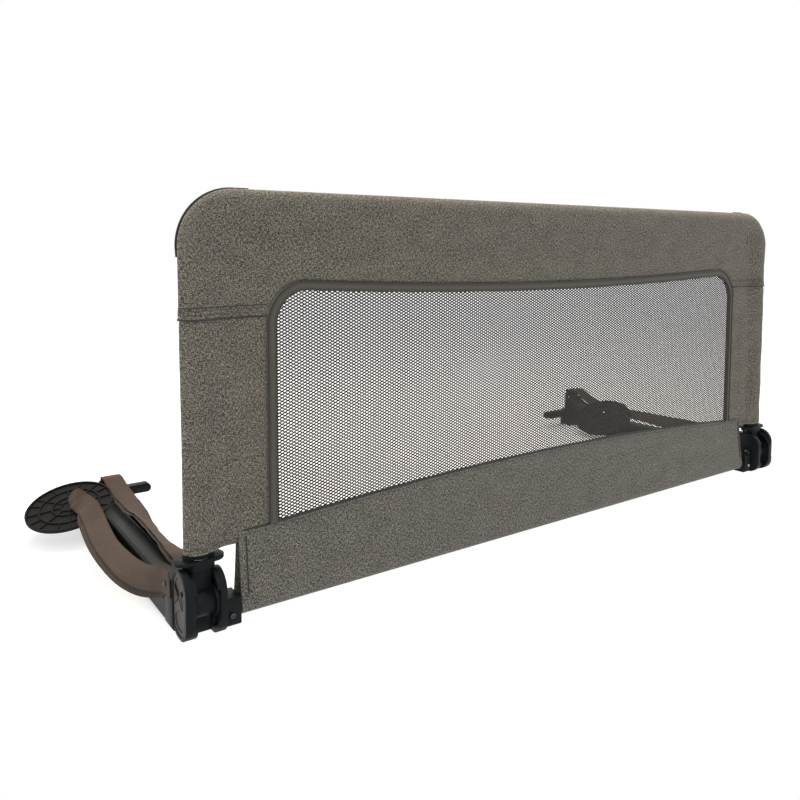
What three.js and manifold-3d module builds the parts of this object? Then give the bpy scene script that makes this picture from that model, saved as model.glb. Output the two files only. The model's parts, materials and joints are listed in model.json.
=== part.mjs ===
import * as THREE from 'three';
import * as BufferGeometryUtils from 'three/addons/utils/BufferGeometryUtils.js';
import Module from 'manifold-3d';

// A folding bed guard rail. Lengths are in millimetres, X runs along the rail, Y goes back
// under the mattress and Z is up. The right-hand side is modelled and the left is its mirror.

// Rail cover
const railLength = 1500;
const railHeight = 645;
const coverDepth = 36;
const coverCloth = 2;
const coverCornerRadius = 86;
const coverHemAboveLip = 2;
const coverTopHeight = 185;
const coverEdgeThickness = 6.4;
const coverSeamWidth = 8;
const coverSlopeShare = 0.62;
const sideFlatStart = 62;
const topFlatStart = 105;

// Frame tubes
const tubeDiameter = 22;
const tubeWall = 1.5;
const tubeInset = 23;
const foamDiameter = 30.4;
const foamEndMargin = 6;

// Mesh window and its binding
const sidePanelWidth = 145;
const topPanelHeight = 152;
const windowSag = 15;
const windowCornerRadius = 52;
const bindingWidth = 15;
const bindingThickness = 8;
const meshThickness = 1.2;
const meshTuck = 8;
const meshPitchX = 86;
const meshPitchZ = 54;
const meshThread = 17;
const meshMargin = 7;

// Lower sleeve band
const sleeveEndGap = 3;
const sleeveTop = 136;
const sleeveBow = 24;
const sleeveBowHalfLength = 620;
const sleeveCloth = 2;
const sleeveBottomRadius = 15.5;
const sleeveMouth = 7.2;
const sleeveStitchLow = 118;
const sleeveStitchHigh = 126;

// Cross tube
const crossTubeHeight = 24;
const joinerLength = 140;

// Bracket
const rimThickness = 10;
const outerCheekThickness = 8;
const clevisWidth = 30;
const innerCheekThickness = 14;
const bracketFront = -38;
const bracketBack = 22;
const rimTop = 101;
const cheekTop = 94;
const cheekCornerRadius = 30;
const cheekBottomRadius = 25;
const backWallFront = 16.5;
const backWallTop = 88;
const floorFront = -6;
const floorTop = 23;
const coverRecess = 4;
const recessInset = 5;
const cheekCoverThickness = 2.8;
const cheekPocketDepth = 1.4;
const cheekWeb = 7;

// Cross tube socket on the bracket
const socketLength = 28;
const socketDepth = 42;
const socketBottom = 2;
const socketTop = 44;
const socketBoreDepth = 33;
const socketScrewInset = 14;
const socketScrewDrop = 5;

// Screws
const screwRadius = 2;
const screwHeadRadius = 4.2;
const screwHeadThickness = 2.4;
const screwCrossShare = 0.6;
const screwCrossWidthShare = 0.3;

// Pivot and knuckle
const pivotY = -10;
const pivotZ = 47;
const pivotPinDiameter = 8;
const pivotHeadDiameter = 14;
const pivotHeadThickness = 4;
const barrelDiameter = 40;
const columnDepth = 26;
const columnTop = 96;
const neckDiameter = 26;
const lipDiameter = 31;
const lipBottom = 113;
const lipTop = 116;
const spigotLength = 44;
const tubeScrewShare = 0.6;
const tubeScrewDepthShare = 0.7;

// Release collar
const collarBottom = 96.5;
const collarFlangeBottom = 106;
const collarFlangeTop = 111;
const collarWidth = 45;
const collarFlangeLength = 76;
const collarFlangeWidth = 38;
const collarCavityDiameter = 32;
const collarLedge = 6;
const collarTravel = 6;
const collarCornerShare = 0.8;

// Lock inside the knuckle
const lockPinHeight = 72;
const lockPinDiameter = 6;
const lockPinReach = 3;
const lockPocketDepth = 4;
const grooveMarginDegrees = 12;
const lockLinkDiameter = 4;
const collarRivetHeight = 99.6;
const collarRivetDiameter = 3.6;
const springWire = 1.4;
const springTurns = 3;

// Arm under the mattress
const armOutward = 3;
const armTubeWidth = 36;
const armTubeWall = 1.6;
const armTop = 46;
const armBottom = 6;
const trayWidth = 62;
const trayWall = 3;
const traySideTop = 36;
const rearSocketEnd = 52;
const rearSocketTop = 52;
const rearSocketWall = 5;
const strapEarTop = 76;
const strapEarGap = 0.5;
const footFront = 586;
const footBack = 608;
const footBlockWidth = 66;
const footBarHalfLength = 112;
const footBarBottom = 29;
const footBarTop = 47;
const footCapFront = 572;
const footBarRoundShare = 0.45;

// Strap paddle on the arm's foot
const leftPaddleInward = 26;
const rightPaddleInward = 14;
const paddleWidth = 52;
const leftPaddleTop = 76;
const rightPaddleTop = 112;
const paddleSlotDrop = 24;
const paddleSlotHeight = 7;
const paddleSlotWidth = 43;
const paddleThickness = 9;
const paddleRoundShare = 0.6;

// Anchor disc
const discDiameter = 160;
const discPlate = 3;
const discRibHeight = 3.2;
const discRibWidth = 2.4;
const discRibCount = 10;
const discSides = 20;
const leftDiscOutward = 75;
const leftDiscBeforeFoot = 96;
const leftDiscHeight = 58;
const leftDiscTiltBackDegrees = 12;
const leftDiscTiltOutDegrees = 12;
const rightDiscInward = 35;
const rightDiscBeforeFoot = 147;
const rightDiscHeight = 50.6;
const rightDiscTiltBackDegrees = 7;
const rightDiscTiltInDegrees = 27;
const rightDiscSpinDegrees = 105;
const discSlotLength = 46;
const discSlotWidth = 8;
const discHubDiameter = 62;
const discRingShare = 0.68;
const discSlotRoundShare = 0.5;

// Webbing
const strapWidth = 40;
const strapThickness = 2.4;
const strapStart = 28;
const backStrapHeight = 62;
const bowStrapHeight = 68;
const bowStrapReach = 36;
const bowStrapSag = 18;
const slackStrapSag = 48;
const slackStrapReach = 26;
const returnStrapSag = 7;
const underDiscGap = 6;
const discStrapArch = 24;
const paddleBendShare = 0.8;
const rivetDiameter = 4;
const rivetHeadDiameter = 9;
const rivetHeadThickness = 1.6;
const rivetDepth = 3;
const rivetSetback = 40;
const rivetBelowTop = 11;

// Fits
const seatGap = 0.3;
const runningGap = 0.6;
const overrun = 5;
const weldDistance = 1e-4;
const degree = Math.PI / 180;
const rightAngle = Math.PI / 2;

const upVector = new THREE.Vector3(0, 0, 1);
const railHalf = railLength / 2;
const postX = railHalf - tubeInset;
const tubeTopZ = railHeight - tubeInset;
const cornerCentreX = railHalf - coverCornerRadius;
const cornerCentreZ = railHeight - coverCornerRadius;
const tubeRadius = tubeDiameter / 2;
const tubeBore = tubeRadius - tubeWall;
const coverHemHeight = lipTop + coverHemAboveLip;
const coverSeamHeight = railHeight - coverTopHeight;
const windowHalfLength = railHalf - sidePanelWidth;
const windowTop = railHeight - topPanelHeight;
const outerCheekFace = postX + clevisWidth / 2;
const rimInnerFace = outerCheekFace + outerCheekThickness;
const bracketOuterFace = rimInnerFace + rimThickness;
const innerCheekFace = postX - clevisWidth / 2;
const bracketInnerFace = innerCheekFace - innerCheekThickness;
const socketInnerFace = bracketInnerFace - socketLength;
const sleeveHalfLength = socketInnerFace - sleeveEndGap;
const armAxis = postX + armOutward;
const tubeScrewHeight = lipTop + spigotLength * tubeScrewShare;
const socketScrewX = socketInnerFace + socketScrewInset;
const socketScrewZ = crossTubeHeight - socketScrewDrop;
const socketInnerSide = armAxis - trayWidth / 2;
const socketOuterSide = armAxis + trayWidth / 2;
const strapSeat = strapThickness / 2 + seatGap;

const wasm = await Module();
wasm.setup();

const plastic = new THREE.MeshStandardMaterial({ color: 0x1d1f1f, roughness: 0.45, metalness: 0 });
const greyPlastic = new THREE.MeshStandardMaterial({ color: 0x414341, roughness: 0.5, metalness: 0 });
const satinSteel = new THREE.MeshStandardMaterial({ color: 0x333431, roughness: 0.38, metalness: 0.6 });
const brightSteel = new THREE.MeshStandardMaterial({ color: 0xb9bcc0, roughness: 0.3, metalness: 1 });
const heather = new THREE.MeshStandardMaterial({ color: 0x6a675d, roughness: 0.95, metalness: 0 });
const darkTape = new THREE.MeshStandardMaterial({ color: 0x4c4a42, roughness: 0.9, metalness: 0 });
const meshCloth = new THREE.MeshStandardMaterial({ color: 0x55534c, roughness: 0.9, metalness: 0 });
const webbing = new THREE.MeshStandardMaterial({ color: 0x6b5d53, roughness: 0.85, metalness: 0 });
const foam = new THREE.MeshStandardMaterial({ color: 0xcfcdc6, roughness: 1, metalness: 0 });

// Solids

function toSolid(geometry) {
  const plain = geometry.index ? geometry.toNonIndexed() : geometry.clone();
  plain.deleteAttribute('normal');
  plain.deleteAttribute('uv');
  const merged = BufferGeometryUtils.mergeVertices(plain, weldDistance);
  return new wasm.Manifold(new wasm.Mesh({
    numProp: 3,
    vertProperties: new Float32Array(merged.attributes.position.array),
    triVerts: new Uint32Array(merged.index.array),
  }));
}

function toGeometry(solid) {
  const mesh = solid.getMesh();
  const geometry = new THREE.BufferGeometry();
  geometry.setAttribute('position', new THREE.BufferAttribute(mesh.vertProperties, 3));
  geometry.setIndex(new THREE.BufferAttribute(mesh.triVerts, 1));
  geometry.computeVertexNormals();
  return geometry;
}

function join(first, ...rest) {
  return rest.reduce((sum, next) => sum.add(next), first);
}

function cut(first, ...rest) {
  return rest.reduce((sum, next) => sum.subtract(next), first);
}

function block(x0, x1, y0, y1, z0, z1) {
  const geometry = new THREE.BoxGeometry(x1 - x0, y1 - y0, z1 - z0);
  geometry.translate((x0 + x1) / 2, (y0 + y1) / 2, (z0 + z1) / 2);
  return toSolid(geometry);
}

// A cylinder between two points.
function rod(start, end, radius, sides = 12) {
  const axis = end.clone().sub(start);
  const geometry = new THREE.CylinderGeometry(radius, radius, axis.length(), sides);
  geometry.applyQuaternion(new THREE.Quaternion().setFromUnitVectors(
    new THREE.Vector3(0, 1, 0), axis.clone().normalize()));
  geometry.translate((start.x + end.x) / 2, (start.y + end.y) / 2, (start.z + end.z) / 2);
  return toSolid(geometry);
}

function rodX(x0, x1, y, z, radius, sides) {
  return rod(new THREE.Vector3(x0, y, z), new THREE.Vector3(x1, y, z), radius, sides);
}

function rodY(y0, y1, x, z, radius, sides) {
  return rod(new THREE.Vector3(x, y0, z), new THREE.Vector3(x, y1, z), radius, sides);
}

function rodZ(z0, z1, x, y, radius, sides) {
  return rod(new THREE.Vector3(x, y, z0), new THREE.Vector3(x, y, z1), radius, sides);
}

function extrude(shape, depth, curveSegments = 2) {
  return new THREE.ExtrudeGeometry(shape, { depth, bevelEnabled: false, curveSegments });
}

// A shape drawn in Y and Z, spread from x0 to x1.
function slabX(shape, x0, x1, curveSegments) {
  const geometry = extrude(shape, x1 - x0, curveSegments);
  geometry.applyMatrix4(new THREE.Matrix4().makeBasis(
    new THREE.Vector3(0, 1, 0), new THREE.Vector3(0, 0, 1), new THREE.Vector3(1, 0, 0)));
  geometry.translate(x0, 0, 0);
  return toSolid(geometry);
}

// A shape drawn in X and Z, spread from y0 to y1.
function slabY(shape, y0, y1, curveSegments) {
  const geometry = extrude(shape, y1 - y0, curveSegments);
  geometry.rotateX(Math.PI / 2);
  geometry.translate(0, y1, 0);
  return toSolid(geometry);
}

function slabZ(shape, z0, z1, curveSegments) {
  const geometry = extrude(shape, z1 - z0, curveSegments);
  geometry.translate(0, 0, z0);
  return toSolid(geometry);
}

// A box outline with a radius of its own at each corner, counted from the low corner round.
function roundedShape(a0, a1, b0, b1, radii) {
  const [low, right, high, left] = radii;
  const shape = new THREE.Shape();
  shape.moveTo(a0 + low, b0);
  shape.lineTo(a1 - right, b0);
  shape.absarc(a1 - right, b0 + right, right, -Math.PI / 2, 0, false);
  shape.lineTo(a1, b1 - high);
  shape.absarc(a1 - high, b1 - high, high, 0, Math.PI / 2, false);
  shape.lineTo(a0 + left, b1);
  shape.absarc(a0 + left, b1 - left, left, Math.PI / 2, Math.PI, false);
  shape.lineTo(a0, b0 + low);
  shape.absarc(a0 + low, b0 + low, low, Math.PI, Math.PI * 1.5, false);
  return shape;
}

function evenlyRounded(a0, a1, b0, b1, radius) {
  return roundedShape(a0, a1, b0, b1, [radius, radius, radius, radius]);
}

function polygon(points) {
  return new THREE.Shape(points.map(([a, b]) => new THREE.Vector2(a, b)));
}

// A skin over rings that all have the same number of points, closed flat at both ends.
// From side turnedFrom on, each patch is creased along its other diagonal.
function loft(rings, turnedFrom = rings[0].length) {
  const count = rings[0].length;
  const positions = rings.flat().flatMap((point) => [point.x, point.y, point.z]);
  const index = [];
  for (let ring = 0; ring + 1 < rings.length; ring += 1) {
    for (let side = 0; side < count; side += 1) {
      const a = ring * count + side;
      const b = ring * count + (side + 1) % count;
      if (side < turnedFrom) {
        index.push(a, b, b + count, a, b + count, a + count);
      } else {
        index.push(a, b, a + count, b, b + count, a + count);
      }
    }
  }
  const last = (rings.length - 1) * count;
  for (let side = 1; side + 1 < count; side += 1) {
    index.push(0, side + 1, side, last, last + side, last + side + 1);
  }
  const geometry = new THREE.BufferGeometry();
  geometry.setAttribute('position', new THREE.Float32BufferAttribute(positions, 3));
  geometry.setIndex(signedVolume(positions, index) < 0 ? index.reverse() : index);
  geometry.computeVertexNormals();
  return geometry;
}

function signedVolume(positions, index) {
  const corner = (k) => new THREE.Vector3().fromArray(positions, index[k] * 3);
  let volume = 0;
  for (let k = 0; k < index.length; k += 3) {
    volume += corner(k).dot(corner(k + 1).cross(corner(k + 2)));
  }
  return volume;
}

function named(name, shape, material) {
  const geometry = shape instanceof THREE.BufferGeometry ? shape : toGeometry(shape);
  const mesh = new THREE.Mesh(geometry, material);
  mesh.name = name;
  return mesh;
}

// Window outline

function windowTopAt(x, inset) {
  const share = Math.min(1, Math.abs(x) / (windowHalfLength - windowCornerRadius));
  return windowTop - inset - windowSag * (1 - share * share);
}

// The window's edge from its lower right corner round the top to its lower left corner.
function windowEdge(inset, bottom, steps = 6, topSteps = 12) {
  const side = windowHalfLength - inset;
  const radius = windowCornerRadius - inset;
  const centreX = windowHalfLength - windowCornerRadius;
  const centreZ = windowTop - windowCornerRadius;
  const right = [[side, bottom]];
  for (let k = 0; k <= steps; k += 1) {
    const angle = (k / steps) * Math.PI / 2;
    right.push([centreX + radius * Math.cos(angle), centreZ + radius * Math.sin(angle)]);
  }
  const top = [];
  for (let k = 1; k < topSteps; k += 1) {
    const x = centreX * (1 - 2 * k / topSteps);
    top.push([x, windowTopAt(x, inset)]);
  }
  const left = right.map(([x, z]) => [-x, z]).reverse();
  return [...right, ...top, ...left];
}

// Padded cover, a hollow band whose section is round over the tube and flat beside the window

const outerNoseShares = [[0, 0], [0.12, 0.52], [0.4, 0.86], [1, 1]];
const cavityNoseShares = [[0, 0], [0.12, 0.5], [0.4, 0.84], [1, 1]];

function coverSection(station, cloth, endInset, shares) {
  const outer = new THREE.Vector2(...station.outer);
  const inner = new THREE.Vector2(...station.inner);
  const length = outer.distanceTo(inner) - endInset;
  const along = inner.clone().sub(outer).normalize();
  const slant = -1 / along.dot(station.normal);
  const half = coverDepth / 2 - cloth;
  const edge = coverEdgeThickness / 2 - cloth;
  const front = shares.map(([a, h]) => [slant * (cloth + a * (tubeInset - cloth)), h * half]);
  const flat = Math.min(station.flat * slant, length - coverSeamWidth);
  front.push([(tubeInset * slant + flat) / 2, half * coverSlopeShare + edge * (1 - coverSlopeShare)]);
  front.push([flat, edge]);
  front.push([length, edge]);
  const back = front.slice(1).reverse().map(([s, h]) => [s, -h]);
  return [...front, ...back].map(([s, h]) => {
    const place = outer.clone().addScaledVector(along, s);
    return new THREE.Vector3(place.x, h, place.y);
  });
}

function topStations() {
  const edge = windowEdge(-bindingWidth - seatGap, coverSeamHeight);
  const centreX = windowHalfLength - windowCornerRadius;
  const cornerSteps = 6;
  const stations = [sideStation(coverSeamHeight)];
  for (let k = 0; k <= cornerSteps; k += 1) {
    const angle = (k / cornerSteps) * Math.PI / 2;
    const normal = new THREE.Vector2(Math.cos(angle), Math.sin(angle));
    const x = cornerCentreX + coverCornerRadius * normal.x;
    const z = cornerCentreZ + coverCornerRadius * normal.y;
    const flat = sideFlatStart + (topFlatStart - sideFlatStart) * k / cornerSteps;
    stations.push({ outer: [x, z], inner: edge[k + 1], normal, flat });
  }
  for (let k = cornerSteps + 2; k < edge.length - cornerSteps - 2; k += 1) {
    const x = edge[k][0] * cornerCentreX / centreX;
    const normal = new THREE.Vector2(0, 1);
    stations.push({ outer: [x, railHeight], inner: edge[k], normal, flat: topFlatStart });
  }
  const mirrored = stations.slice(0, cornerSteps + 2).reverse().map((station) => ({
    outer: [-station.outer[0], station.outer[1]],
    inner: [-station.inner[0], station.inner[1]],
    normal: new THREE.Vector2(-station.normal.x, station.normal.y),
    flat: station.flat,
  }));
  return [...stations, ...mirrored];
}

function sideStation(z) {
  const inner = windowHalfLength + bindingWidth + seatGap;
  return { outer: [railHalf, z], inner: [inner, z], normal: new THREE.Vector2(1, 0), flat: sideFlatStart };
}

function shifted(station, rise) {
  const { outer, inner } = station;
  return { ...station, outer: [outer[0], outer[1] + rise], inner: [inner[0], inner[1] + rise] };
}

// The hollow runs on past both open ends, the last of which lies above the first on a side panel.
function band(stations) {
  const skin = loft(stations.map((station) => coverSection(station, 0, 0, outerNoseShares)));
  const first = stations[0];
  const last = stations[stations.length - 1];
  const lastRise = last.outer[1] > first.outer[1] ? overrun : -overrun;
  const inside = [shifted(first, -overrun), ...stations, shifted(last, lastRise)];
  const hollow = loft(inside.map((station) => (
    coverSection(station, coverCloth, coverSeamWidth, cavityNoseShares))));
  return cut(toSolid(skin), toSolid(hollow));
}

function coverTop() {
  return named('cover_top', band(topStations()), heather);
}

function coverSide() {
  const ends = [sideStation(coverHemHeight), sideStation(coverSeamHeight - seatGap)];
  return named('cover_side', band(ends), heather);
}

// Mesh panel and binding

function meshHoles() {
  const holes = [];
  const halfX = (meshPitchX - meshThread) / 2;
  const halfZ = (meshPitchZ - meshThread) / 2;
  const low = sleeveTop + meshMargin + halfZ;
  const sideLimit = windowHalfLength - meshMargin - halfX;
  const rows = Math.floor((windowTop - low) / (meshPitchZ / 2));
  for (let row = 0; row <= rows; row += 1) {
    const z = low + row * meshPitchZ / 2;
    const shift = (row % 2) * meshPitchX / 2;
    const columns = Math.floor((sideLimit - shift) / meshPitchX);
    for (let column = shift ? -columns - 1 : -columns; column <= columns; column += 1) {
      const x = shift + column * meshPitchX;
      const tip = Math.abs(x) + halfX;
      const roomAbove = windowTopAt(Math.min(tip, windowHalfLength - windowCornerRadius), meshMargin);
      const inCorner = tip > windowHalfLength - windowCornerRadius && z > windowTop - windowCornerRadius - halfZ;
      if (z + halfZ > windowTopAt(x, meshMargin) || z > roomAbove || inCorner) continue;
      holes.push(polygon([[x - halfX, z], [x, z - halfZ], [x + halfX, z], [x, z + halfZ]]));
    }
  }
  return holes;
}

function meshWindow() {
  const half = meshThickness / 2;
  const sheet = slabY(polygon(windowEdge(-meshTuck, sleeveStitchLow)), -half, half);
  return named('mesh_window', cut(sheet, slabY(meshHoles(), -meshThickness, meshThickness)), meshCloth);
}

function meshBinding() {
  const half = bindingThickness / 2;
  const slot = meshThickness / 2 + seatGap;
  const bottom = sleeveTop + seatGap;
  const whole = slabY(polygon(windowEdge(-bindingWidth, bottom)), -half, half);
  const clear = slabY(polygon(windowEdge(0, bottom - overrun)), -half - overrun, half + overrun);
  const groove = slabY(polygon(windowEdge(-meshTuck - seatGap, bottom - overrun)), -slot, slot);
  return named('mesh_binding', cut(whole, clear, groove), darkTape);
}

// Sleeve band, an open loop of cloth round the cross tube whose two sheets hold the mesh

function sleeveOutline(cloth, top) {
  const mouth = sleeveMouth / 2 + sleeveCloth - cloth;
  const radius = sleeveBottomRadius - cloth;
  const points = [[mouth, top]];
  const steps = 12;
  for (let k = 0; k <= steps; k += 1) {
    const angle = -(k / steps) * Math.PI;
    points.push([radius * Math.cos(angle), crossTubeHeight + radius * Math.sin(angle)]);
  }
  points.push([-mouth, top]);
  return polygon(points);
}

// What lies above the sleeve's top edge, which the net pulls up in a bow between its ends.
function aboveSleeve() {
  const steps = 20;
  const end = sleeveHalfLength + overrun;
  const high = sleeveTop + sleeveBow + overrun;
  const edge = [];
  for (let k = 0; k <= steps; k += 1) {
    const share = 2 * k / steps - 1;
    edge.push([share * sleeveBowHalfLength, sleeveTop + sleeveBow * (1 - share ** 2)]);
  }
  const shape = polygon([[-end, sleeveTop], ...edge, [end, sleeveTop], [end, high], [-end, high]]);
  return slabY(shape, -sleeveBottomRadius, sleeveBottomRadius);
}

function sleeveBand() {
  const top = sleeveTop + sleeveBow;
  const outside = cut(
    slabX(sleeveOutline(0, top), -sleeveHalfLength, sleeveHalfLength), aboveSleeve());
  const inside = slabX(sleeveOutline(sleeveCloth, top + overrun),
    -sleeveHalfLength - overrun, sleeveHalfLength + overrun);
  const near = meshThickness / 2 + seatGap;
  const stitchShare = (top - sleeveStitchLow) / (top - crossTubeHeight);
  const spread = sleeveBottomRadius - sleeveCloth - sleeveMouth / 2;
  const far = sleeveMouth / 2 + stitchShare * spread + sleeveCloth / 2;
  const stitched = [-1, 1].map((side) => block(-windowHalfLength, windowHalfLength,
    Math.min(side * near, side * far), Math.max(side * near, side * far),
    sleeveStitchLow, sleeveStitchHigh));
  return named('sleeve_band', join(cut(outside, inside), ...stitched), heather);
}

// Frame tubes and foam

function pipeZ(z0, z1, x, outer, inner) {
  return cut(rodZ(z0, z1, x, 0, outer), rodZ(z0 - overrun, z1 + overrun, x, 0, inner));
}

function pipeX(x0, x1, z, outer, inner) {
  return cut(rodX(x0, x1, 0, z, outer), rodX(x0 - overrun, x1 + overrun, 0, z, inner));
}

function uprightTube() {
  const screwHole = rodY(-tubeDiameter, 0, postX, tubeScrewHeight, screwRadius + seatGap);
  const pipe = pipeZ(lipTop + seatGap, cornerCentreZ - seatGap, postX, tubeRadius, tubeBore);
  return named('upright_tube', cut(pipe, screwHole), satinSteel);
}

function cornerTube() {
  const radius = coverCornerRadius - tubeInset;
  const steps = 6;
  const sides = 14;
  const rings = (r, extra) => {
    const out = [];
    for (let k = 0; k <= steps; k += 1) {
      const angle = -extra + (k / steps) * (Math.PI / 2 + 2 * extra);
      const ring = [];
      for (let side = 0; side < sides; side += 1) {
        const turn = side / sides * Math.PI * 2;
        const reach = radius + r * Math.cos(turn);
        ring.push(new THREE.Vector3(cornerCentreX + reach * Math.cos(angle),
          r * Math.sin(turn), cornerCentreZ + reach * Math.sin(angle)));
      }
      out.push(ring);
    }
    return toSolid(loft(out));
  };
  return named('corner_tube', cut(rings(tubeRadius, 0), rings(tubeBore, degree)), satinSteel);
}

function topTube() {
  const end = cornerCentreX - seatGap;
  return named('top_tube', pipeX(-end, end, tubeTopZ, tubeRadius, tubeBore), satinSteel);
}

function foamSide() {
  const low = tubeScrewHeight + screwHeadRadius + foamEndMargin;
  const high = cornerCentreZ - foamEndMargin;
  return named('foam_side', pipeZ(low, high, postX, foamDiameter / 2, tubeRadius + seatGap), foam);
}

function foamTop() {
  const end = cornerCentreX - foamEndMargin;
  return named('foam_top', pipeX(-end, end, tubeTopZ, foamDiameter / 2, tubeRadius + seatGap), foam);
}

function crossTube() {
  const end = socketInnerFace + socketBoreDepth - seatGap;
  const screwHole = rodY(-tubeDiameter, 0, socketScrewX, socketScrewZ, screwRadius + seatGap);
  const pipe = pipeX(seatGap / 2, end, crossTubeHeight, tubeRadius, tubeBore);
  return named('cross_tube', cut(pipe, screwHole), satinSteel);
}

function crossJoiner() {
  const half = joinerLength / 2;
  const radius = tubeBore - seatGap;
  return named('cross_joiner', rodX(-half, half, 0, crossTubeHeight, radius), greyPlastic);
}

// Screws

// A pan-head screw that points back along +Y, with a cross recess in its head.
function screw(name, x, seat, z, length) {
  const head = rodY(seat - seatGap - screwHeadThickness, seat - seatGap, x, z, screwHeadRadius);
  const shank = rodY(seat - screwHeadThickness, seat + length, x, z, screwRadius);
  const depth = screwHeadThickness / 2;
  const face = seat - seatGap - screwHeadThickness;
  const arm = screwHeadRadius * screwCrossShare;
  const slot = screwHeadRadius * screwCrossWidthShare / 2;
  const cross = join(
    block(x - arm, x + arm, face - overrun, face + depth, z - slot, z + slot),
    block(x - slot, x + slot, face - overrun, face + depth, z - arm, z + arm));
  return named(name, cut(join(head, shank), cross), brightSteel);
}

function socketScrew() {
  return screw('socket_screw', socketScrewX, -socketDepth / 2, socketScrewZ, socketDepth / 2 - tubeBore);
}

function tubeScrew() {
  return screw('tube_screw', postX, -tubeRadius, tubeScrewHeight, tubeRadius * tubeScrewDepthShare);
}

// Bracket

function cheekOutline(top, inset) {
  const bottomRadius = cheekBottomRadius - inset;
  const topRadius = cheekCornerRadius - inset;
  return roundedShape(bracketFront + inset, bracketBack - inset, inset, top - inset,
    [bottomRadius, bottomRadius, topRadius, topRadius]);
}

// The arc in which the lock pin's ends travel, open at the front.
function lockGroove(x0, x1) {
  const rise = lockPinHeight - pivotZ;
  const radius = lockPinDiameter / 2 + runningGap;
  const near = Math.hypot(pivotY, rise) - radius;
  const far = Math.hypot(pivotY, rise + collarTravel) + radius;
  const rest = Math.atan2(rise, -pivotY);
  const margin = grooveMarginDegrees * degree;
  const shape = new THREE.Shape();
  shape.absarc(pivotY, pivotZ, far, rest - margin, rest + margin + Math.PI, false);
  shape.absarc(pivotY, pivotZ, near, rest + margin + Math.PI, rest - margin, true);
  return slabX(shape, x0, x1, 6);
}

function rearSocket() {
  const half = trayWidth / 2;
  const shape = evenlyRounded(armAxis - half, armAxis + half, 0, rearSocketTop, rearSocketWall);
  return slabY(shape, bracketBack - overrun, rearSocketEnd);
}

// Ears that stand up from the rear socket's sides, one inside each strap, for its rivet.
function strapEar(side) {
  const face = (side > 0 ? socketOuterSide : socketInnerSide) - side * strapEarGap;
  const back = face - side * rearSocketWall;
  return block(Math.min(face, back), Math.max(face, back), bracketBack - overrun, rearSocketEnd,
    rearSocketTop - 2 * rearSocketWall, strapEarTop);
}

function armHollow(from, to) {
  const half = armTubeWidth / 2 + seatGap;
  const low = armBottom + trayWall;
  return block(armAxis - half, armAxis + half, from, to, low, armTop + seatGap);
}

function bracket() {
  const rim = slabX(cheekOutline(rimTop, 0), rimInnerFace, bracketOuterFace, 3);
  const outer = slabX(cheekOutline(cheekTop, 0), outerCheekFace, rimInnerFace + seatGap, 3);
  const inner = slabX(cheekOutline(cheekTop, 0), bracketInnerFace, innerCheekFace, 3);
  const backWall = block(innerCheekFace - overrun, outerCheekFace + overrun, backWallFront, bracketBack,
    0, backWallTop);
  const floor = block(innerCheekFace - overrun, outerCheekFace + overrun, floorFront, bracketBack,
    0, floorTop);
  const socket = slabX(evenlyRounded(-socketDepth / 2, socketDepth / 2, socketBottom, socketTop,
    rearSocketWall), socketInnerFace, bracketInnerFace + overrun);
  const body = join(
    rim, outer, inner, backWall, floor, socket, rearSocket(), strapEar(1), strapEar(-1));
  const recess = slabX(cheekOutline(rimTop, recessInset), bracketOuterFace - coverRecess,
    bracketOuterFace + overrun, 3);
  const bore = rodX(socketInnerFace - overrun, socketInnerFace + socketBoreDepth, 0, crossTubeHeight,
    tubeRadius + seatGap, 16);
  const pinBore = rodX(bracketInnerFace - overrun, bracketOuterFace + overrun, pivotY, pivotZ,
    pivotPinDiameter / 2 + seatGap);
  const headRoom = rodX(bracketInnerFace - pivotHeadThickness - runningGap, bracketInnerFace, pivotY,
    pivotZ, pivotHeadDiameter / 2 + runningGap);
  const screwHole = rodY(-socketDepth, 0, socketScrewX, socketScrewZ, screwRadius + seatGap);
  const rivetHoles = [1, -1].map((side) => rivetHole(side));
  return named('bracket', cut(body, recess, bore, pinBore, headRoom, screwHole,
    armHollow(bracketBack, rearSocketEnd + overrun),
    lockGroove(outerCheekFace - overrun, outerCheekFace + lockPocketDepth),
    lockGroove(innerCheekFace - lockPocketDepth, innerCheekFace + overrun), ...rivetHoles), plastic);
}

function cheekCover() {
  const outline = cheekOutline(rimTop, recessInset + seatGap);
  const back = bracketOuterFace - coverRecess + seatGap;
  const front = back + cheekCoverThickness;
  const plate = slabX(outline, back, front, 3);
  const middleZ = rimTop / 2;
  const middleY = (bracketFront + bracketBack) / 2;
  const inset = recessInset + cheekWeb;
  const pocket = slabX(cheekOutline(rimTop, inset), front - cheekPocketDepth, front + overrun, 3);
  const reach = (bracketBack - bracketFront) / 2 - recessInset;
  const web = slabX(polygon([
    [middleY - reach, middleZ - reach], [middleY, middleZ - cheekWeb], [middleY + reach, middleZ - reach],
    [middleY + reach, middleZ + reach], [middleY, middleZ + cheekWeb], [middleY - reach, middleZ + reach]]),
  front - cheekPocketDepth - overrun, front + overrun);
  return named('cheek_cover', cut(plate, cut(pocket, web)), greyPlastic);
}

function pivotPin() {
  const end = bracketOuterFace - coverRecess;
  const seat = bracketInnerFace - seatGap;
  const shank = rodX(seat - pivotHeadThickness / 2, end, pivotY, pivotZ, pivotPinDiameter / 2);
  const head = rodX(seat - pivotHeadThickness, seat, pivotY, pivotZ, pivotHeadDiameter / 2);
  return named('pivot_pin', join(head, shank), satinSteel);
}

// Knuckle, the rail's end that turns in the bracket

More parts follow.
